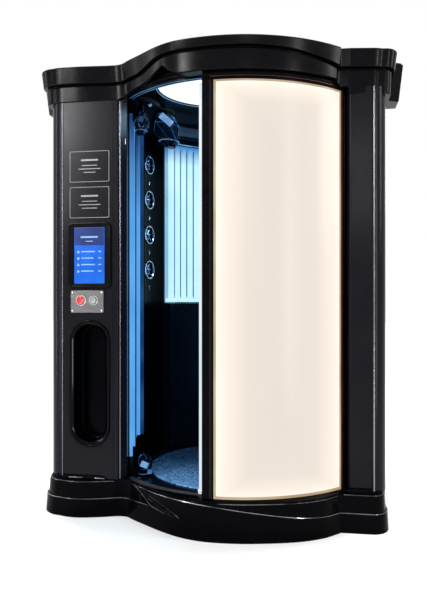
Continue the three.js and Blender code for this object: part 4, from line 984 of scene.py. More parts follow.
def stile(low, high, ridge_low, ridge_high):
    """Upright of the panel's frame with a raised flat down its middle."""
    outer = BOW + 4
    flats = [(low, outer - 2), (low + 0.12, outer), (ridge_low - 0.1, outer), (ridge_low, outer + 4),
             (ridge_high, outer + 4), (ridge_high + 0.1, outer), (high - 0.12, outer), (high, outer - 2)]
    front = [polar(radius, angle) for angle, radius in flats]
    back = [polar(BOW - 44, angle) for angle in spaced(high, low, 4)]
    return prism(front + back, BOX_BOTTOM, BOX_TOP)


make("frame_stile_left", stile(FRAME_FROM, PANEL_FROM - SEAM, -3.6, -2.5), TRIM, "trim",
     replaces=["lightbox_stile_left"])
make("frame_stile_right", stile(PANEL_TO + SEAM, FRAME_TO, 50.4, 51.3), TRIM, "trim",
     replaces=["lightbox_stile_right"])
# Painted highlight: a paler strip on the left stile's raised flat
make("frame_stile_highlight_band", sector(BOW + 7.6, BOW + 9.4, -3.5, -2.6, BOX_BOTTOM + 3, BOX_TOP - 3, 0.3, 0.6),
     SHELL_PAINT, "shell")
# Painted reflection of the warm panel down the right stile
make("frame_painted_reflection", sector(BOW + 3.6, BOW + 6, 49.15, 49.95, BOX_BOTTOM, BOX_TOP, 0.4, 0.6), PAINTED_REFLECTION,
     "trim")
header_points = [
    (HEADER_INNER, HEADER), (HEADER_OUTER, HEADER), (HEADER_OUTER, HEADER + 14),
    (HEADER_OUTER - 5, HEADER + 19), (HEADER_OUTER - 5, UNDER_CEILING), (HEADER_INNER, UNDER_CEILING),
]
moulding("header_bar", (TRACK_FROM, TRACK_TO), header_points, [2, 3, 3, 3, 2, 2], TRIM, "trim",
         ["header_rail"])
make("header_lip", sector(705, 718, FRAME_FROM, 47.9, PANEL_TOP, HEADER + 1, 1.5), TRIM, "trim")
cap_steps = [(-34, 0), (6, 0), (8, 6), (2, 12), (2, 19), (7, 25), (7, 34), (-34, 34)]
cap_points = [(BOW + out, PANEL_TOP + up) for out, up in cap_steps]
moulding("header_cap_moulding", (FRAME_FROM, CAP_TO), cap_points, [0, 2, 2, 1, 1, 2, 2, 0], TRIM, "trim",
         step=1)
# Painted reflection of the warm panel along the header cap
painted_reflection_line = sector(BOW + 1, BOW + 3.5, FRAME_FROM + 3, CAP_TO - 0.1, PANEL_TOP + 14, PANEL_TOP + 17, 1)
make("header_painted_reflection", painted_reflection_line, DIM_PAINTED_REFLECTION, "trim")
# Painted light: two thin glowing arcs under the header, where its edge is lit blue
header_glow_arcs = [sector(r, r + 2.6, -48.4, -7, HEADER - 15.2, HEADER - 12.9, 1, 0.8) for r in (683, 700.2)]
make("header_painted_glow_lines", header_glow_arcs, HEADER_PAINTED_GLOW, "lamp")


# Door
SILL_TOP = 176
TRACK_LOW, TRACK_HIGH = SILL_TOP + GAP, HEADER - GAP
LEAF_FROM, LEAF_TO = -7.5, 44.5
STRIP_TO = LEAF_FROM - 0.04
FOOT_BOTTOM, FOOT_TOP = TRACK_LOW + 13, TRACK_LOW + 35


def channel(open_z, closed_z):
    """Track with a slot that opens towards the leaf."""
    floor = closed_z + math.copysign(2, open_z - closed_z)
    inner, outer = DOOR - 10, DOOR + 10
    points = [
        (inner, closed_z), (outer, closed_z), (outer, open_z), (outer - 4, open_z), (outer - 4, floor),
        (inner + 4, floor), (inner + 4, open_z), (inner, open_z),
    ]
    return sweep(arc(TRACK_FROM, TRACK_TO, 1.5), lambda s: points)


def edge_bar(width, bottom, top):
    """Upright bar of a width at the leaf's leading edge."""
    return sector(DOOR - 12, DOOR + 12, LEAF_FROM - math.degrees(width / DOOR), STRIP_TO, bottom, top, 0.4, 4)


make("door_channel_low", channel(TRACK_LOW + 12, TRACK_LOW), STEEL, "steel", replaces=["door_track_bottom"])
# Painted shade: the upper track, steel like the lower one, takes the dark cabin liner
make("door_channel_high", channel(TRACK_HIGH - 12, TRACK_HIGH), LINER, "steel", replaces=["door_track_top"])
make("door_sheet", sector(DOOR - 3, DOOR + 3, LEAF_FROM, LEAF_TO, TRACK_LOW + 3, TRACK_HIGH - 3, 1, 1),
     ACRYLIC, "acrylic", "door", replaces=["door_leaf"])
# Painted light: the white edge strip glows though it holds no lamp
make("door_edge_strip", edge_bar(14, FOOT_TOP + GAP, TRACK_HIGH - 36), EDGE_GLOW, "edge_white", "door",
     replaces=["door_edge"])
make("door_guide_foot", edge_bar(19, FOOT_BOTTOM, FOOT_TOP), WHITE, "edge_white", "door",
     replaces=["door_glide"])


# Cabin
def ring_wall(name, low, high, bottom, top, finish, slot, node):
    make(name, sector(CABIN, WALL_BACK, low, high, bottom, top, 1.5), finish, slot, replaces=[node])


LEFT_WALL_TO, RIGHT_WALL_FROM, REAR_EDGE = -59.92, 49.0, 123
REAR_LOW, REAR_HIGH = REAR_EDGE + SEAM, 360 - REAR_EDGE - SEAM
REAR = (REAR_LOW, REAR_HIGH)
ring_wall("cabin_wall_left", -REAR_EDGE, LEFT_WALL_TO, DECK_TOP, UNDER_CEILING, LINER, "liner", "wall_left")
ring_wall("cabin_wall_right", RIGHT_WALL_FROM, REAR_EDGE, DECK_TOP, UNDER_CEILING, LINER, "liner",
          "wall_right")
ring_wall("cabin_reflector", *REAR, LOWER_PANEL_TOP + GAP, UNDER_CEILING, REFLECTOR, "reflector",
          "rear_reflector")
panel_points = [
    (LOWER_PANEL, DECK_TOP), (LOWER_PANEL_BACK, DECK_TOP), (LOWER_PANEL_BACK, LEDGE), (WALL_BACK, LEDGE),
    (WALL_BACK, LOWER_PANEL_TOP), (LOWER_PANEL, LOWER_PANEL_TOP),
]
moulding("cabin_lower_panel", REAR, panel_points, [0, 0, 1, 1, 2, 5], LINER, "liner", ["rear_lower_panel"])
panel_ribs = [sector(LOWER_PANEL - 2.5, LOWER_PANEL + 0.6, a - 0.25, a + 0.25, 190, 1090, 0.5, 0.6)
              for a in spaced(REAR_LOW + 6, REAR_HIGH - 6, 6)]
skirting = [sector(LOWER_PANEL - 10, LOWER_PANEL + 0.5, *REAR, z, z + 10, 1.5, 3) for z in (160, 178)]
cheeks = [sector(LOWER_PANEL_BACK - 0.5, WALL_BACK, a, a + 0.8, DECK_TOP + 0.6, LEDGE + 0.5, 0.4, 1)
          for a in (REAR_LOW + 0.1, REAR_HIGH - 0.9)]
make("cabin_lower_trim", panel_ribs + skirting + cheeks, LINER, "liner")
valance_bottom = REAR_LAMP_TOP + GAP
valance_points = [
    (LOWER_PANEL, valance_bottom), (LINING, valance_bottom), (LINING, 2200), (606, 2200), (LOWER_PANEL, 2190),
]
moulding("cabin_valance", REAR, valance_points, [3, 1, 1, 3, 6], LINER, "liner", ["lamp_valance"])
fascia_points = [(626, 2226), (639, 2226), (639, 2288), (626, 2288), (623, 2280), (623, 2234)]
moulding("cabin_fascia", REAR, fascia_points, [2, 1, 1, 2, 4, 4], FASCIA, "liner")
make("valance_light_line", sector(588.5, 591.5, *REAR, 2151, 2157, 1.5, 1), LIGHT_LINE, "lamp")
fascia_lines = [sector(620.5, 623.4, *REAR, z, z + 4, 1.5, 1) for z in (2216, 2284)]
make("fascia_lines", fascia_lines, BLUE_CHROME, "steel")


def tube(ring, radius, angle, bottom, top):
    """Lamp tube with its glass ends drawn in."""
    x, y = polar(ring, angle)
    h = top - bottom
    small = 0.7 * radius
    end = [(CORE, 0), (small, 0), (radius - 1.5, 4), (radius, 12)]
    return lathe(end + [(r, h - z) for r, z in end[::-1]], (x, y, bottom), 20)


def collar(ring, radius, angle, z, height):
    x, y = polar(ring, angle)
    end = [(0.6 * radius, 0), (radius + 1.2, 0), (radius + 2, 1.5)]
    return lathe(end + [(r, height - up) for r, up in end[::-1]], (x, y, z), 20)


def lamp_bank(name, node, middle, count, pitch, bottom, top, ring, radius, glow, fin_reach, fin_finish,
              end_finish, fin_at=()):
    """Bank of tubes with end collars, holders and the fins between them."""
    angles = [middle + pitch * (i - (count - 1) / 2) for i in range(count)]
    low, high = angles[0] - pitch / 2 + SEAM, angles[-1] + pitch / 2 - SEAM
    tubes = [tube(ring, radius, a, bottom + 14, top - 14) for a in angles]
    make(name, tubes, glow, "lamp", replaces=[node])
    holders = [sector(612, LINING, low, high, z, z + 24, 1.5, 2) for z in (bottom, top - 24)]
    collars = [collar(ring, radius, a, z, 30) for a in angles for z in (bottom + 12, top - 42)]
    make(name + "_holders", holders + collars, end_finish, "trim")
    fins = [sector(fin_reach, LINING - 1, a - 0.16, a + 0.16, bottom + 26, top - 26, 0.4, 0.5)
            for a in fin_at or spaced(low, high, count)[1:-1]]
    make(name + "_fins", fins, fin_finish, "reflector")


for i in range(3):
    lamp_bank(f"rear_lamps_{i + 1}", f"rear_lamp_module_{i + 1}", middle=180 + 37.6 * (i - 1), count=8,
              pitch=4.7, bottom=LOWER_PANEL_TOP + 7, top=REAR_LAMP_TOP, ring=612, radius=19, glow=LAMP,
              fin_reach=606, fin_finish=BLUE_FIN, end_finish=LAMP)
for side, sign in (("left", -1), ("right", 1)):
    lamp_bank(f"side_lamps_{side}", f"side_lamp_bank_{side}", middle=sign * 79, count=5, pitch=6.9,
              bottom=BANK_BOTTOM, top=BANK_TOP, ring=625, radius=13, glow=BLUE_LAMP, fin_reach=607,
              fin_finish=TRIM, end_finish=TRIM, fin_at=[sign * 82.45])
make("wall_edge_lamp", sector(LINING, 655, -59.9, -59.63, BANK_BOTTOM, REAR_LAMP_TOP, 0.3, 0.8), BLUE_LAMP,
     "lamp")
# Painted light: a dim glowing strip on the mist column's flank
make("column_painted_glow", sector(602, 634, -96.5, -96.3, 300, REAR_LAMP_TOP, 0.2), DIM_BLUE, "lamp")


# Mist column with ringed ports, vanes inside them and small nozzles between
COLUMN_FACE, COLUMN_FROM, COLUMN_TO, PORT_ANGLE = 598, -118, -96.6, -102.6
PORT_PITCH = 218
PORT_HEIGHTS = [1966 - PORT_PITCH * k for k in range(4)]
NOZZLE_DROP = PORT_PITCH / 2
inward = Vector((*polar(-1, PORT_ANGLE), 0))


def column_point(z, out):
    x, y = polar(COLUMN_FACE - out, PORT_ANGLE)
    return x, y, z


def port_turn(profile, z, sides=48):
    return lathe(profile, column_point(z, 0), sides, inward)


wells = [cutter(port_turn([(CORE, -14), (46, -14), (50, 12), (CORE, 12)], z)) for z in PORT_HEIGHTS]
column_points = [
    (COLUMN_FACE, FLOOR + GAP), (LINING, FLOOR + GAP), (LINING, BANK_TOP), (COLUMN_FACE, BANK_TOP),
]
moulding("mist_column_body", (COLUMN_FROM, COLUMN_TO), column_points, [2, 0, 0, 4], COLUMN, "trim",
         ["mist_column"], step=0.9, cutters=wells, sharp=30)
discard(*wells)


def port_vanes(z):
    """Hub, swirled vanes and an inner ring in the well of a port."""
    side = inward.cross(Vector((0, 0, 1)))
    made = [port_turn([(CORE, -15), (11, -15), (10, -4), (6, 0), (CORE, 1)], z, 24)]
    made.append(port_turn([(24, -12), (28, -12), (28, -8), (24, -8)], z, 32))
    for k in range(7):
        angle = math.radians(360 * k / 7)
        out = side * math.cos(angle) + Vector((0, 0, math.sin(angle)))
        across = side * -math.sin(angle) + Vector((0, 0, math.cos(angle)))
        start = Vector(column_point(z, -10)) + out * 9
        made.append(rod(start, start + out * 36 + across * 12 + inward * 3, 2.6, 8, 0.8))
    return merge(*made)


port_rings = [port_turn([(49, -2), (58, -2), (58, 5), (56, 8), (52, 8), (49, 4)], z) for z in PORT_HEIGHTS]
make("mist_port_rings", port_rings, PORT_CHROME, "steel")
make("mist_port_vanes", [port_vanes(z) for z in PORT_HEIGHTS], BLUE_CHROME, "steel")
nozzles = []
for z in PORT_HEIGHTS:
    nozzles.append(port_turn([(CORE, -1), (12, -1), (11, 4), (7, 6), (4, 3), (CORE, 3)], z - NOZZLE_DROP, 20))
    nozzles.append(rod(column_point(z - NOZZLE_DROP, 3), column_point(z - NOZZLE_DROP - 17, 3), 3, 10, 1))
make("mist_nozzles", nozzles, BLUE_CHROME, "steel")


# Floor pan, pebbled mat and its raised rim, sill
AXIS = (0, 0)
MAT_TOP = FLOOR + 6 + GAP
floor_profile = [
    (CORE, FLOOR - 10), (540, FLOOR - 10), (540, DECK_TOP), (550, DECK_TOP), (550, FLOOR - 10),
    (590, FLOOR - 10), (590, FLOOR - 2), (588, FLOOR), (CORE, FLOOR),
]
turning("cabin_floor_pan", floor_profile, AXIS, 120, LINER, "liner", ["floor_pan"])
mat_profile = [
    (CORE, FLOOR + GAP), (520, FLOOR + GAP), (520, 155), (517, MAT_TOP), (506, MAT_TOP), (504, 157),
    (500, 157), (498, 158), (CORE, MAT_TOP),
]
turning("floor_mat_sheet", mat_profile, AXIS, 120, MAT, "mat", ["floor_mat"])
sill_points = [
    (594, DECK_TOP), (HEADER_OUTER, DECK_TOP), (HEADER_OUTER, SILL_TOP), (HEADER_INNER, SILL_TOP),
    (CABIN, 168), (594, FLOOR),
]
moulding("door_sill", (TRACK_FROM, TRACK_TO), sill_points, [0, 0, 3, 4, 6, 3], LINER, "trim",
         ["threshold_sill"], steps=3)
sill_lines = [sector(r, r + 4, -48, 47.5, z, z + 3, 1.5, 1) for r, z in ((630, 165), (655, 171.5))]
make("door_sill_ribs", sill_lines, BLUE_CHROME, "steel")


# Ceiling, its light, and the extractor fan
FAN_AT, FAN_BORE = (119.99, 269.5), 105
LIGHT_AT = polar(273, -18)
PANEL_THICK = 6
ROOF_BOTTOM, ROOF_TOP = 2326, 2332
FAN_LOW, FAN_MID, FAN_HIGH = CEILING + PANEL_THICK + GAP, 2314, ROOF_BOTTOM - GAP
bore_profile = [(CORE, 2200), (FAN_BORE, 2200), (FAN_BORE, 2400), (CORE, 2400)]
bore = cutter(lathe(bore_profile, (*FAN_AT, 0), 64))
ceiling_profile = [
    (CORE, CEILING), (CABIN, CEILING), (WALL_BACK, CEILING + 1), (WALL_BACK, CEILING + PANEL_THICK),
    (CORE, CEILING + PANEL_THICK),
]
turning("cabin_ceiling", ceiling_profile, AXIS, 120, LINER, "liner", ["ceiling_panel"], cutters=[bore])
ring_profile = [
    (330, 2285.8), (334, 2284), (342, 2285.5), (348, 2291), (348, UNDER_CEILING), (330, UNDER_CEILING),
]
turning("ceiling_ring", ring_profile, LIGHT_AT, 96, LINER, "steel", ["ceiling_light_ring"])
line_profile = [(338, 2283), (341, 2283), (341, 2286.5), (338, 2286.5)]
turning("ceiling_ring_line", line_profile, LIGHT_AT, 96, LIGHT_LINE, "lamp")
lens_profile = [
    (CORE, 2284.5), (180, 2285.5), (300, 2288.5), (329.5, 2290.6), (329.5, UNDER_CEILING),
    (CORE, UNDER_CEILING),
]
turning("ceiling_lens", lens_profile, LIGHT_AT, 96, CEILING_GLOW, "opal", ["ceiling_light_lens"])
roof_bow = arc(BOW_FROM, BOW_TO, 1.5, BOW)[1:-1]
roof_edge = left_band(BACK - BAND) + roof_bow + right_band(BACK - BAND)
roof_outline = [(s.x - s.nx * (BAND + GAP), s.y - s.ny * (BAND + GAP)) for s in roof_edge]
make("roof_sheet", prism(roof_outline, ROOF_BOTTOM, ROOF_TOP), TRIM, "trim", replaces=["roof_panel"],
     cutters=[bore])
discard(bore)
shroud_profile = [
    (FAN_BORE, FAN_LOW), (117, FAN_LOW), (117, FAN_HIGH), (FAN_BORE, FAN_HIGH), (FAN_BORE - 1.5, FAN_MID),
]
turning("fan_shroud", shroud_profile, FAN_AT, 64, TRIM, "trim", ["fan_housing"])


def fan_guard():
    """Rings and spokes over the bore in the roof."""
    made = []
    for r in (24, 44, 64, 84, 103):
        profile = [(r + u, ROOF_BOTTOM + h) for u, h in ((-1.3, 0.2), (1.3, 0.2), (1.3, 2.8), (-1.3, 2.8))]
        made.append(lathe(profile, (*FAN_AT, 0), 48))
    centre = Vector((*FAN_AT, 2330))
    for k in range(6):
        u = Vector((math.cos(math.radians(60 * k)), math.sin(math.radians(60 * k)), 0))
        made.append(rod(centre + u * 20, centre + u * 112, 1.6, 8, 0.5))
    return merge(*made)


make("fan_guard", fan_guard(), STEEL, "steel")


def fan_blades():
    """Swept blades with a twist that eases towards the tip."""
    hub = [(CORE, 2303), (30, 2303), (34, 2306), (34, 2321), (28, 2325), (CORE, 2325.4)]
    made = [lathe(hub, (*FAN_AT, 0), 40)]
    for k in range(5):
        rings = []
        for share in spaced(0, 1, 6):
            reach = 26 + 74 * share
            twist = math.radians(24 - 12 * share)
            half = 20 + 5 * share
            skew = math.radians(72 * k + 9 * share)
            ring = []
            for u, v in ((-1, -0.9), (0, 1.2), (1, -0.9), (1, -2.1), (0, 0), (-1, -2.1)):
                chord, lift = u * half * math.cos(twist), u * half * math.sin(twist) + v
                x = reach * math.cos(skew) - chord * math.sin(skew)
                y = reach * math.sin(skew) + chord * math.cos(skew)
                ring.append((FAN_AT[0] + x, FAN_AT[1] + y, FAN_MID + lift))
            rings.append(ring)
        made.append(loft(rings))
    return merge(*made)


make("fan_blades", fan_blades(), TRIM, "trim", "fan_rotor", replaces=["fan_rotor"])


# Controls
BEZEL_Z, BEZEL_W, BEZEL_H = 1356, 240, 345
SCREEN_W, SCREEN_H, SCREEN_FACE = 165, 294, 6.6


def bezel_outline(inset):
    return rounded_box(BEZEL_W - 2 * inset, BEZEL_H - 2 * inset, max(2, 26 - inset), 8)


def screen_outline(inset):
    return rounded_box(SCREEN_W - 2 * inset, SCREEN_H - 2 * inset, max(0.5, 4 - inset), 8)


def frame_loft(x, z, *levels):
    """Ring-shaped piece: the levels run round its section and close on themselves."""
    return loft(face_rings(x, z, *levels), loop=True)


surround_levels = [(bezel_outline(inset), proud) for inset, proud in (
    (0, GAP), (0, 6), (1, 8), (4, 9), (10, 9), (12, 8))]
surround_levels += [(screen_outline(inset), proud) for inset, proud in (
    (-4, 8), (-2, 7.4), (-0.4, 5), (-0.4, GAP))]
make("screen_surround", frame_loft(CONTROL_X, BEZEL_Z, *surround_levels), GLOSS, "gloss_black",
     replaces=["screen_bezel"])
make("screen_glass", face_plate(screen_outline, CONTROL_X, BEZEL_Z, 1.6, SCREEN_FACE, 0.6), SCREEN, "screen",
     replaces=["touch_screen"])


def pill(width, height):
    """Round-ended outline of a size, as a function of its inset."""
    def outline(inset):
        return rounded_box(width - 2 * inset, height - 2 * inset, min(width, height) / 2 - inset - 0.05, 3)

    return outline


def header_outline(inset):
    return rounded_box(SCREEN_W - 4 - 2 * inset, 92 - 2 * inset, 2, 3)


def screen_bar(x, z, width, height):
    return face_plate(pill(width, height), CONTROL_X + x, BEZEL_Z + z, 6.7, 7.2, 0.2)


make("screen_header", face_plate(header_outline, CONTROL_X, BEZEL_Z + 99, SCREEN_FACE, 6.9, 0.1), SCREEN_DARK,
     "screen")
marks = [screen_bar(0, 96, 96, 9), screen_bar(0, 74, 40, 4)]
for k in range(4):
    z = 18 - 34 * k
    marks += [screen_bar(-60, z, 14, 14), screen_bar(-6 - 4 * (k % 2), z + 2, 78 - 8 * (k % 2), 6)]
    marks.append(screen_bar(58, z + 2, 18, 6))
make("screen_marks", marks, SCREEN_MARK, "screen")


# Steel plate, its screws, button rings and caps
BUTTON_Z, RED_X, GREY_X = PLATE_Z + 6, PLATE_X - 34, PLATE_X + 34
RED_R, GREY_R = 21, 19
AHEAD = (0, -1, 0)


def disc_cutter(x, radius):
    profile = [(CORE, 0), (radius, 0), (radius, 60), (CORE, 60)]
    return cutter(lathe(profile, (x, -FRONT + 20, BUTTON_Z), 48, AHEAD))


plate_holes = [disc_cutter(RED_X, RED_R + 1), disc_cutter(GREY_X, GREY_R + 1)]
make("button_plate_steel", face_plate(plate_outline, PLATE_X, PLATE_Z, GAP, 6, 1.2), PLATE_STEEL, "steel",
     replaces=["button_plate"], cutters=plate_holes, sharp=30)
discard(*plate_holes)


def face_turn(profile, x, z, sides=40):
    """Round fitting on the pillar's face; profile heights are ahead of its front."""
    return lathe(profile, (x, -FRONT, z), sides, AHEAD)


def button_ring(r):
    return [(r + 1.3, 5.5), (r + 7, 5.5), (r + 7, 8), (r + 5, 10), (r + 2, 10), (r + 1.3, 9)]


def button_cap(r):
    return [(CORE, -16), (r, -16), (r, 13), (r - 1, 15.6), (r - 3, 17), (r - 5, 16), (CORE, 14.8)]


rings = [face_turn(button_ring(r), x, BUTTON_Z) for r, x in ((RED_R, RED_X), (GREY_R, GREY_X))]
make("button_rings", rings, CHROME, "steel")
make("red_button_cap", face_turn(button_cap(RED_R), RED_X, BUTTON_Z), RED, "red", "red_button",
     replaces=["red_button"])
make("grey_button_cap", face_turn(button_cap(GREY_R), GREY_X, BUTTON_Z), GREY, "grey", "grey_button",
     replaces=["grey_button"])
head_profile = [(CORE, 5.5), (4, 5.5), (4, 7), (2.6, 8), (CORE, 8.2)]
plate_heads = [face_turn(head_profile, PLATE_X + dx, PLATE_Z + dz, 16)
               for dx in (-80, 80) for dz in (-48, 48)]
make("plate_screws", plate_heads, CHROME, "steel")


# Cubby: a rolled lip with a chamfer inside it, a deep throat and a back
sleeve = CUBBY_LIP + 1
throat = 27
back_at = -CUBBY_DEPTH
rim_levels = [
    (0, GAP), (0, 4), (0.8, 7.4), (2.6, 9.6), (5, 10.4), (11, 10.4), (13, 9.8), (23.5, 1.2), (25.5, -0.8),
    (throat, -4), (throat, -10), (sleeve, -10), (sleeve, GAP),
]
bowl_levels = [
    (sleeve, back_at), (sleeve, -10.4), (throat, -10.4), (throat, back_at + 16), (throat + 2, back_at + 9),
    (throat + 9, back_at + 5),
]
lip_rings = [(cubby_outline(inset), proud) for inset, proud in rim_levels]
bowl_rings = [(cubby_outline(inset), proud) for inset, proud in bowl_levels]
make("cubby_lip", frame_loft(CONTROL_X, CUBBY_Z, *lip_rings), LIP_GLOSS, "gloss_black")
# Painted shade: the throat and back take the deeper column black, darker than the lip
make("cubby_bowl", loft(face_rings(CONTROL_X, CUBBY_Z, *bowl_rings)), COLUMN, "gloss_black",
     replaces=["cubby_liner"])


# Two blank instruction plates, each with a thin frame line
STEP_W, STEP_H, STEP_FACE = 222, 168, 3


def step_outline(inset):
    return rounded_box(STEP_W - 2 * inset, STEP_H - 2 * inset, max(2, 10 - inset), 6)


def print_bar(x, z, width, height):
    """Plain printed bar that stands where a plate would carry words."""
    return face_plate(pill(width, height), CONTROL_X + x, z, STEP_FACE - 0.1, STEP_FACE + 0.4, 0.2)


for k in range(2):
    z = 1822 - 188 * k
    make(f"step_plate_blank_{k + 1}", face_plate(step_outline, CONTROL_X, z, GAP, STEP_FACE, 0.8),
         SHELL_PAINT, "shell", replaces=[f"step_plate_{k + 1}"])
    line_places = ((3, 2.9), (3, 3.6), (5.4, 3.6), (5.4, 2.9))
    line_levels = [(step_outline(inset), proud) for inset, proud in line_places]
    make(f"step_frame_{k + 1}", frame_loft(CONTROL_X, z, *line_levels), LINE, "grey")
    bars = [(0, 34, 96, 9), (0, 6, 84, 4), (0, -12, 122, 4), (0, -30, 66 + 20 * k, 4)]
    make(f"step_bars_{k + 1}", [print_bar(x, z + dz, w, h) for x, dz, w, h in bars], LINE, "grey")


# Lamp heads
ARM_AT = Vector((-410.25, -125.43, 2215.6))
ARM_TURN = math.radians(67.33)
SMALL_SIDE = -225.9
HEAD_TOP = -14
KNUCKLE = 19
HOOD_FROM, HOOD_LONG = -264, 200


def arm_place(form, origin=ARM_AT):
    return turned(form, Matrix.Translation(origin) @ Matrix.Rotation(ARM_TURN, 4, "Z"))


rose_profile = [(CORE, 79.9), (38, 79.9), (38, 76), (34, 72), (14, 70), (11, 64), (11, -10), (CORE, -10)]
make("lamp_arm", arm_place(merge(
    lathe(rose_profile, (SMALL_SIDE, 0, 0), 32),
    rod((SMALL_SIDE - 28, 0, 0), (60, 0, 0), 11, 20, 3),
    rod((SMALL_SIDE - 17, 0, 0), (SMALL_SIDE + 17, 0, 0), KNUCKLE, 28, 2),
)), TRIM, "steel", replaces=["face_lamp_arm"])


def pod(width, depth, levels, sides=8, lean=0.0):
    """Faceted pod in triangles: levels are (height, width share, depth share), each turned half a step."""
    verts, faces = [], []
    middle = 0.5 * (levels[0][0] + levels[-1][0])
    for i, (z, wide, deep) in enumerate(levels):
        for k in range(sides):
            angle = 2 * math.pi * (k + 0.5 * (i % 2)) / sides - math.pi / 2
            uneven = 1 + 0.06 * math.sin(3.1 * k + 1.7 * i)
            y = 0.5 * depth * deep * math.sin(angle) * uneven + lean * (z - middle)
            verts.append((0.5 * width * wide * math.cos(angle) * uneven, y, z))
    for i in range(len(levels) - 1):
        low, high = i * sides, (i + 1) * sides
        for k in range(sides):
            n = (k + 1) % sides
            if i % 2:
                faces += [(low + k, low + n, high + n), (low + k, high + n, high + k)]
            else:
                faces += [(low + k, low + n, high + k), (low + n, high + n, high + k)]
    faces.append(tuple(range(sides))[::-1])
    faces.append(tuple(range(len(verts) - sides, len(verts))))
    return verts, faces


def pane(width, height, thick, bearing, out, z, slant):
    """Lit pane that faces a bearing in the arm's frame, turned in its own plane by a slant."""
    turn = math.radians(bearing)
    at = Matrix.Translation((out * math.cos(turn), out * math.sin(turn), z))
    spin = Matrix.Rotation(turn + math.pi / 2, 4, "Z") @ Matrix.Rotation(math.radians(slant), 4, "Y")
    return turned(box(width, thick, height, (0, 0, 0)), at @ spin)


POD_SHAPE = [
    (0.0, 0.40, 0.44), (0.16, 0.80, 0.82), (0.40, 1.0, 1.0), (0.62, 0.98, 0.98), (0.84, 0.74, 0.76),
    (1.0, 0.34, 0.38),
]


def lamp_head(name, node, body, size, neck, side, origin, panes, glow, lean=0.0, crest=HEAD_TOP + 2.4):
    """Neck, faceted housing with painted highlights along its edges and a glowing rim that is a painted
    highlight, and lit panes let into its skin.
    """
    width, height, depth = size
    top = HEAD_TOP - neck
    tall = height - neck

    def place(form, y=0.0):
        return arm_place(turned(form, Matrix.Translation((side, y, 0))), origin)

    def levels(shape, grow=1.0):
        return [(top - tall * share, grow * wide, grow * deep) for share, wide, deep in shape]

    housing = place(pod(width, depth, levels(POD_SHAPE), 8, lean))
    make(name, housing, POD, "gloss_black", body, replaces=[node], faceted=True)
    # Painted highlights along the housing's facet edges
    make(name + "_edges", housing, POD_EDGE_HIGHLIGHT, "steel", body, faceted=True, wire=1.8)
    # Painted highlight: a glowing band round the housing near its bottom
    low = POD_SHAPE[-2][0]
    band = [(low - 0.01, 0.75, 0.77), (low, 0.76, 0.78), (low + 0.01, 0.75, 0.77), (low + 0.016, 0.73, 0.75)]
    rim = place(pod(width, depth, levels(band, 1.01), 8, 0), -lean * (low - 0.5) * tall)
    make(name + "_rim", rim, POD_RIM_HIGHLIGHT, "lamp", body, faceted=True)
    if neck > 0:
        foot = top - 4
        profile = [(CORE, foot), (13, foot), (15, crest - 5), (13, crest - 1.5), (10, crest), (CORE, crest)]
        make(name + "_neck", place(lathe(profile, (0, 0, 0), 20)), TRIM, "trim", body)
    lit = [pane(w * width, h * tall, 10, bearing, out * width, top - tall * share, slant)
           for w, h, bearing, out, share, slant in panes]
    make(name + "_window", place(merge(*lit)), glow, "lamp", body, bevel=2.5)


def hood():
    """Faceted cover over the cross bar."""
    rings = []
    turns = [2 * math.pi * (k + 0.5) / 8 for k in range(8)]
    for share in spaced(0, 1, 7):
        swell = math.sin(math.pi * (0.06 + 0.88 * share)) ** 0.5
        x = HOOD_FROM + HOOD_LONG * share
        rings.append([(x, 34 * swell * math.cos(t), 6 + 28 * swell * math.sin(t)) for t in turns])
    return arm_place(loft(rings))


make("lamp_hood", hood(), POD, "gloss_black", faceted=True)
hood_pane = turned(pane(34, 18, 8, 217, 27, -10, 38), Matrix.Translation((-160, 0, 0)))
make("lamp_hood_window", arm_place(hood_pane), WINDOW, "lamp", bevel=2.5)
big_panes = [(0.44, 0.16, 217, 0.40, 0.34, 40)]
small_panes = [(0.26, 0.26, 215, 0.40, 0.40, 10)]
leg_panes = [(0.40, 0.26, 217, 0.40, 0.40, 25), (0.24, 0.18, 260, 0.40, 0.74, 10)]
leg_at = Vector((*polar(578, -57), 280.4 - HEAD_TOP))
lamp_head("face_lamp_big_housing", "face_lamp_big", "face_lamp_big", size=(190, 200, 132), neck=-18, side=0,
          origin=ARM_AT, panes=big_panes, glow=WINDOW, lean=0.30)
lamp_head("face_lamp_small_housing", "face_lamp_small", "face_lamp_small", size=(98, 172, 78), neck=50,
          side=SMALL_SIDE, origin=ARM_AT, panes=small_panes, glow=DIM_BLUE, crest=-KNUCKLE - 1.4)
lamp_head("leg_lamp_housing", "leg_lamp", "root", size=(104, 128, 72), neck=4, side=0, origin=leg_at,
          panes=leg_panes, glow=WINDOW)


# Back and machine bay
def louvres(x, width, bottom, count, pitch=22):
    """Row of pressed louvres on the back sheet."""
    made = []
    for k in range(count):
        z = bottom + pitch * k
        section = [(0, 0), (4.5, 2), (5, 4), (0, 12)]
        rings = [[(x + sx, BACK - 0.3 + d, z + h) for d, h in section] for sx in (-width / 2, width / 2)]
        made.append(loft(rings))
    return merge(*made)


REAR_LEFT, REAR_RIGHT, SPLIT = -922.4, 751.8, -430.4
MID_Z, PRESSED = 1180, 4.4
REAR_BOTTOM, REAR_TOP = DECK_TOP, ROOF_BOTTOM - GAP
BEHIND = (0, 1, 0)


def sheet(low, high):
    middle = ((low + high) / 2, BACK - SHELL / 2, (REAR_TOP + REAR_BOTTOM) / 2)
    return box(high - low, SHELL, REAR_TOP - REAR_BOTTOM, middle)


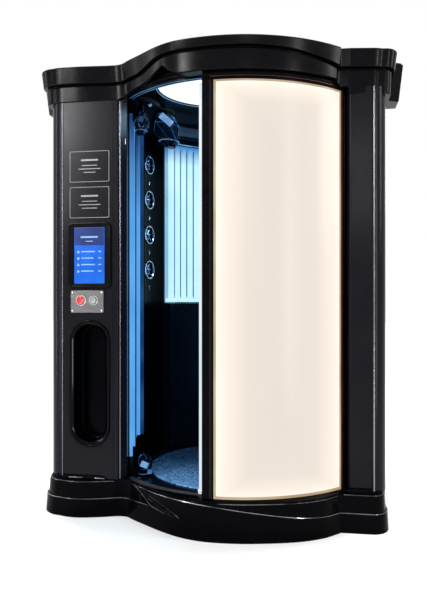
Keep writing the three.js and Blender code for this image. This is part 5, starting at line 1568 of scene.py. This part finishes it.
rear_forms = [sheet(SPLIT + 3, REAR_RIGHT), louvres(160, 520, 1900, 10), louvres(160, 520, 320, 10)]
make("rear_sheet", rear_forms, SHELL_PAINT, "shell", replaces=["rear_panel"])
make("service_door_sheet", [sheet(REAR_LEFT, SPLIT), louvres(-680, 300, 380, 12)], SHELL_PAINT, "shell",
     "service_door", replaces=["service_door"])


def side_sheet(sign, reach):
    """Pressed cover sheet on the side of the casing."""
    y, z, width, height = 130, MID_Z, 940, 1720
    rings = []
    for inset, out in ((0, -1), (0, 2.2), (1.4, 3.8), (4, PRESSED), (30, PRESSED), (34, 2.4), (40, 2.4)):
        outline = rounded_box(width - 2 * inset, height - 2 * inset, 46 - 0.6 * inset, 8)
        rings.append([(sign * (reach + out), y + u, z + v) for u, v in outline])
    return loft(rings)


def screws(places, axis):
    """Domed screw heads with a socket in each."""
    profile = [(CORE, -1), (7, -1), (7, 0.6), (5.6, 2.2), (3.2, 2.8), (2.6, 1.2), (CORE, 1.2)]
    return [lathe(profile, place, 18, axis) for place in places]


for side, sign, reach in (("left", -1, LEFT), ("right", 1, RIGHT)):
    make(f"side_sheet_{side}", side_sheet(sign, reach), SHELL_PAINT, "shell")
    heads = [(sign * (reach + PRESSED), y, z) for z in spaced(340, 2020, 4) for y in (-322, 582)]
    make(f"side_screws_{side}", screws(heads, (sign, 0, 0)), STEEL, "steel")
rear_heads = [(x, BACK, z) for z in (70, 620, MID_Z, 1740, 2290) for x in (-390, 160, 720)]
make("rear_screws", screws(rear_heads, BEHIND), STEEL, "steel")
roof_bars = [box(1500, 26, 5, (-85, y, ROOF_TOP + 2)) for y in (-300, 20, 520)]
make("roof_ribs", roof_bars, TRIM, "trim", bevel=2.2)
roof_heads = [(x, y, ROOF_TOP) for y in (-420, 160, 640) for x in (-860, -480, 330, 690)]
make("roof_screws", screws(roof_heads, (0, 0, 1)), STEEL, "steel")
LATCH_X, LATCH_Z = -476.43, 1178
latch_profile = [(CORE, 0), (22, 0), (22, 4), (20, 7), (14, 8.5), (CORE, 9)]
make("service_latch_cam", [
    lathe(latch_profile, (LATCH_X, BACK + GAP, LATCH_Z), 40, BEHIND),
    box(9, 14, 34, (LATCH_X, BACK + 14, LATCH_Z)),
], STEEL, "steel", "service_latch", replaces=["service_latch"], bevel=1.0)
hinge_y = BACK + 3
hinges = [rod((REAR_LEFT, hinge_y, z - 45), (REAR_LEFT, hinge_y, z + 45), 6, 16, 1.5)
          for z in (300, MID_Z, 2060)]
make("service_hinges", hinges, STEEL, "steel", "service_door")
INLET_X, INLET_Z = 552.23, 300
socket_profile = [(CORE, 0), (18, 0), (18, 14), (CORE, 14)]
inlet_hole = cutter(lathe(socket_profile, (INLET_X, BACK + 4, INLET_Z), 32, BEHIND))
make("mains_inlet_body", box(90, 16, 70, (INLET_X, BACK + 8 + GAP, INLET_Z)), TRIM, "trim",
     replaces=["mains_inlet"], cutters=[inlet_hole], bevel=2.5)
discard(inlet_hole)
pins = []
for dx, dz in ((-8, -4), (8, -4), (0, 8)):
    x, z = INLET_X + dx, INLET_Z + dz
    pins.append(rod((x, BACK + 3, z), (x, BACK + 14, z), 2.4, 12, 1))
make("mains_inlet_pins", pins, STEEL, "steel")
BAY_X = -786.6
TANK_AT, TANK_HALF_X, TANK_HALF_Y = (BAY_X, 150), 95, 150
tank_corners = [(-TANK_HALF_X, -TANK_HALF_Y), (TANK_HALF_X, -TANK_HALF_Y), (TANK_HALF_X, TANK_HALF_Y),
                (-TANK_HALF_X, TANK_HALF_Y)]
tank_section = rounded(tank_corners, [24] * 4, 5)
tank_levels = [(DECK_TOP, 6), (36, 1), (60, 0)]
for groove_z in (170, 300):
    tank_levels += [(groove_z, 0), (groove_z + 4, 4), (groove_z + 16, 4), (groove_z + 20, 0)]
tank_levels += [(430, 0), (452, 8), (460, 22)]
tank_rings = []
for z, inset in tank_levels:
    across, along = 1 - inset / TANK_HALF_X, 1 - inset / TANK_HALF_Y
    tank_rings.append([(TANK_AT[0] + u * across, TANK_AT[1] + v * along, z) for u, v in tank_section])
make("solution_tank_body", loft(tank_rings), TANK, "tank", replaces=["solution_tank"], sharp=50)
cap_profile = [(CORE, 455), (28, 455), (28, 462), (32, 463), (32, 482), (30, 484.4), (CORE, 484.4)]
turning("solution_tank_cap", cap_profile, TANK_AT, 32, GREY, "grey")
PUMP_Y, PUMP_Z, PUMP_R = -170, 108.4, 62
pump_profile = [(CORE, 0), (40, 0), (44, 3), (44, 34), (60, 38), (PUMP_R, 42)]
for k in range(8):
    rib = 50 + 16 * k
    pump_profile += [(PUMP_R, rib), (PUMP_R, rib + 6), (PUMP_R - 6, rib + 8), (PUMP_R - 6, rib + 14)]
pump_profile += [(PUMP_R, 184), (PUMP_R, 200), (50, 210), (CORE, 210)]
make("mist_pump_body", [
    lathe(pump_profile, (BAY_X, PUMP_Y - 105, PUMP_Z), 40, BEHIND),
    box(124, 126, 18, (BAY_X, PUMP_Y, 39.4)), box(70, 90, 40, (BAY_X, PUMP_Y, 62)),
], STEEL, "steel", replaces=["mist_pump"])
CONTROL_Y, CONTROL_Z = 420, 1460
make("control_box_body", [
    box(90, 300, 420, (-901.8, CONTROL_Y, CONTROL_Z)), box(6, 288, 408, (-854, CONTROL_Y, CONTROL_Z)),
], GREY, "grey", replaces=["control_box"], bevel=3)


# Nodes that keep their own shape
for node, finish in (("base_deck", WOOD), ("lightbox_led_panel", LINER)):
    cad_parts[node].data.materials.clear()
    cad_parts[node].data.materials.append(finish.mat)


# Stage, light and camera
def lit_for_view(tree, strength_seen, strength_lit):
    """Strength that differs between what is seen or mirrored and what lights the object."""
    rays = add_node(tree, "LightPath").outputs
    seen = rays["Is Camera Ray"]
    for name in ("Is Glossy Ray", "Is Transmission Ray"):
        seen = maths(tree, "MAXIMUM", seen, rays[name])
    return add_node(tree, "MapRange", Value=seen, To_Min=strength_lit, To_Max=strength_seen).outputs["Result"]


FLOOR_HALF = 30
SHADOW_SHIFT, SHADOW_SCALE = (0.16, 0, 0), (1.12, 1.03, 1.0)
SHADOW_FROM, SHADOW_TO, SHADOW_GLOW = 0.90, 1.34, 0.08


def stage_floor():
    """White ground that glows for the camera away from the booth; near it the glow fades, so the real contact
    shadow shows, along with a painted shade round the booth.
    """
    corners = [(-FLOOR_HALF, -FLOOR_HALF, 0), (FLOOR_HALF, -FLOOR_HALF, 0), (FLOOR_HALF, FLOOR_HALF, 0),
               (-FLOOR_HALF, FLOOR_HALF, 0)]
    mesh = bpy.data.meshes.new("floor")
    mesh.from_pydata(corners, [], [(0, 1, 2, 3)])
    obj = placed("floor", mesh)
    finish = Finish("pale_floor", (0.62, 0.62, 0.62), Roughness=0.9, Specular_IOR_Level=0.0)
    squash = finish.add("Mapping", Vector=finish.coords, Location=SHADOW_SHIFT, Scale=SHADOW_SCALE)
    far = finish.add("VectorMath")
    far.operation = "LENGTH"
    feed(finish.tree, far.inputs[0], squash.outputs["Vector"])
    # Painted shade: the floor's glow fades over an oval round the booth
    fade = finish.spread(far.outputs["Value"], SHADOW_GLOW, 1.0, (SHADOW_FROM, SHADOW_TO))
    fade.node.interpolation_type = "SMOOTHSTEP"
    glow = finish.maths("MULTIPLY", lit_for_view(finish.tree, 1.0, 0.0), fade)
    finish.set(Emission_Color=(1, 1, 1, 1), Emission_Strength=glow)
    obj.data.materials.append(finish.mat)


def area(name, place, target, size, watts, colour=(1, 1, 1)):
    data = bpy.data.lights.new(name, "AREA")
    data.shape = "RECTANGLE"
    data.size, data.size_y = size
    data.energy = watts
    data.color = colour
    obj = placed(name, data)
    obj.location = place
    obj.rotation_euler = (Vector(target) - Vector(place)).to_track_quat("-Z", "Y").to_euler()


def studio():
    world = bpy.data.worlds.new("studio")
    scene.world = world
    world.use_nodes = True
    tree = world.node_tree
    feed_all(tree, tree.nodes["Background"],
             {"Color": (1, 1, 1, 1), "Strength": lit_for_view(tree, 1.0, 0.55)})
    area("soft_left", (-2.42, -3.62, 2.6), (-0.8, -0.5, 1.8), (0.40, 1.2), 45)
    area("high_left", (-2.32, -3.62, 3.3), (-0.8, -0.5, 2.2), (0.36, 0.9), 60)
    area("strip_left", (-3.0, -3.2, 1.5), (-0.8, -0.5, 1.3), (0.14, 3.0), 40)
    area("strip_far_left", (-5.0, -1.4, 2.4), (-0.8, 0, 1.6), (0.5, 4.4), 82)
    area("soft_right", (0.87, -4.0, 2.4), (0.6, -0.5, 1.7), (0.6, 1.0), 11)
    area("strip_right", (3.4, -3.4, 1.6), (0.6, -0.4, 1.3), (0.24, 3.2), 90)
    area("strip_far_right", (4.6, -1.0, 3.1), (0.6, -0.4, 2.2), (0.5, 2.4), 70)
    area("overhead", (0, -2.4, 5.0), (0, -0.4, 1.0), (4.0, 0.5), 70)
    area("rear", (1.5, 4.5, 3.4), (0, 0, 1.3), (2.4, 2.4), 60)
    area("cabin", (0.08, -0.22, 2.25), (0.05, -0.2, 0.2), (0.4, 0.4), 11, (0.45, 0.75, 1.0))


CAMERA_AT, CAMERA_TURN = (0.455, -3.620, 1.112), 9.53
CAMERA_LENS, CAMERA_RISE = 37.9, 0.0127


def camera():
    data = bpy.data.cameras.new("camera")
    obj = placed("camera", data)
    obj.location = CAMERA_AT
    obj.rotation_euler = (math.radians(90), 0, math.radians(CAMERA_TURN))
    data.sensor_fit = "AUTO"
    data.sensor_width = 36
    data.lens = CAMERA_LENS
    data.shift_y = CAMERA_RISE
    data.clip_end = 200
    scene.camera = obj


scene.view_settings.view_transform = "Standard"
stage_floor()
studio()
camera()
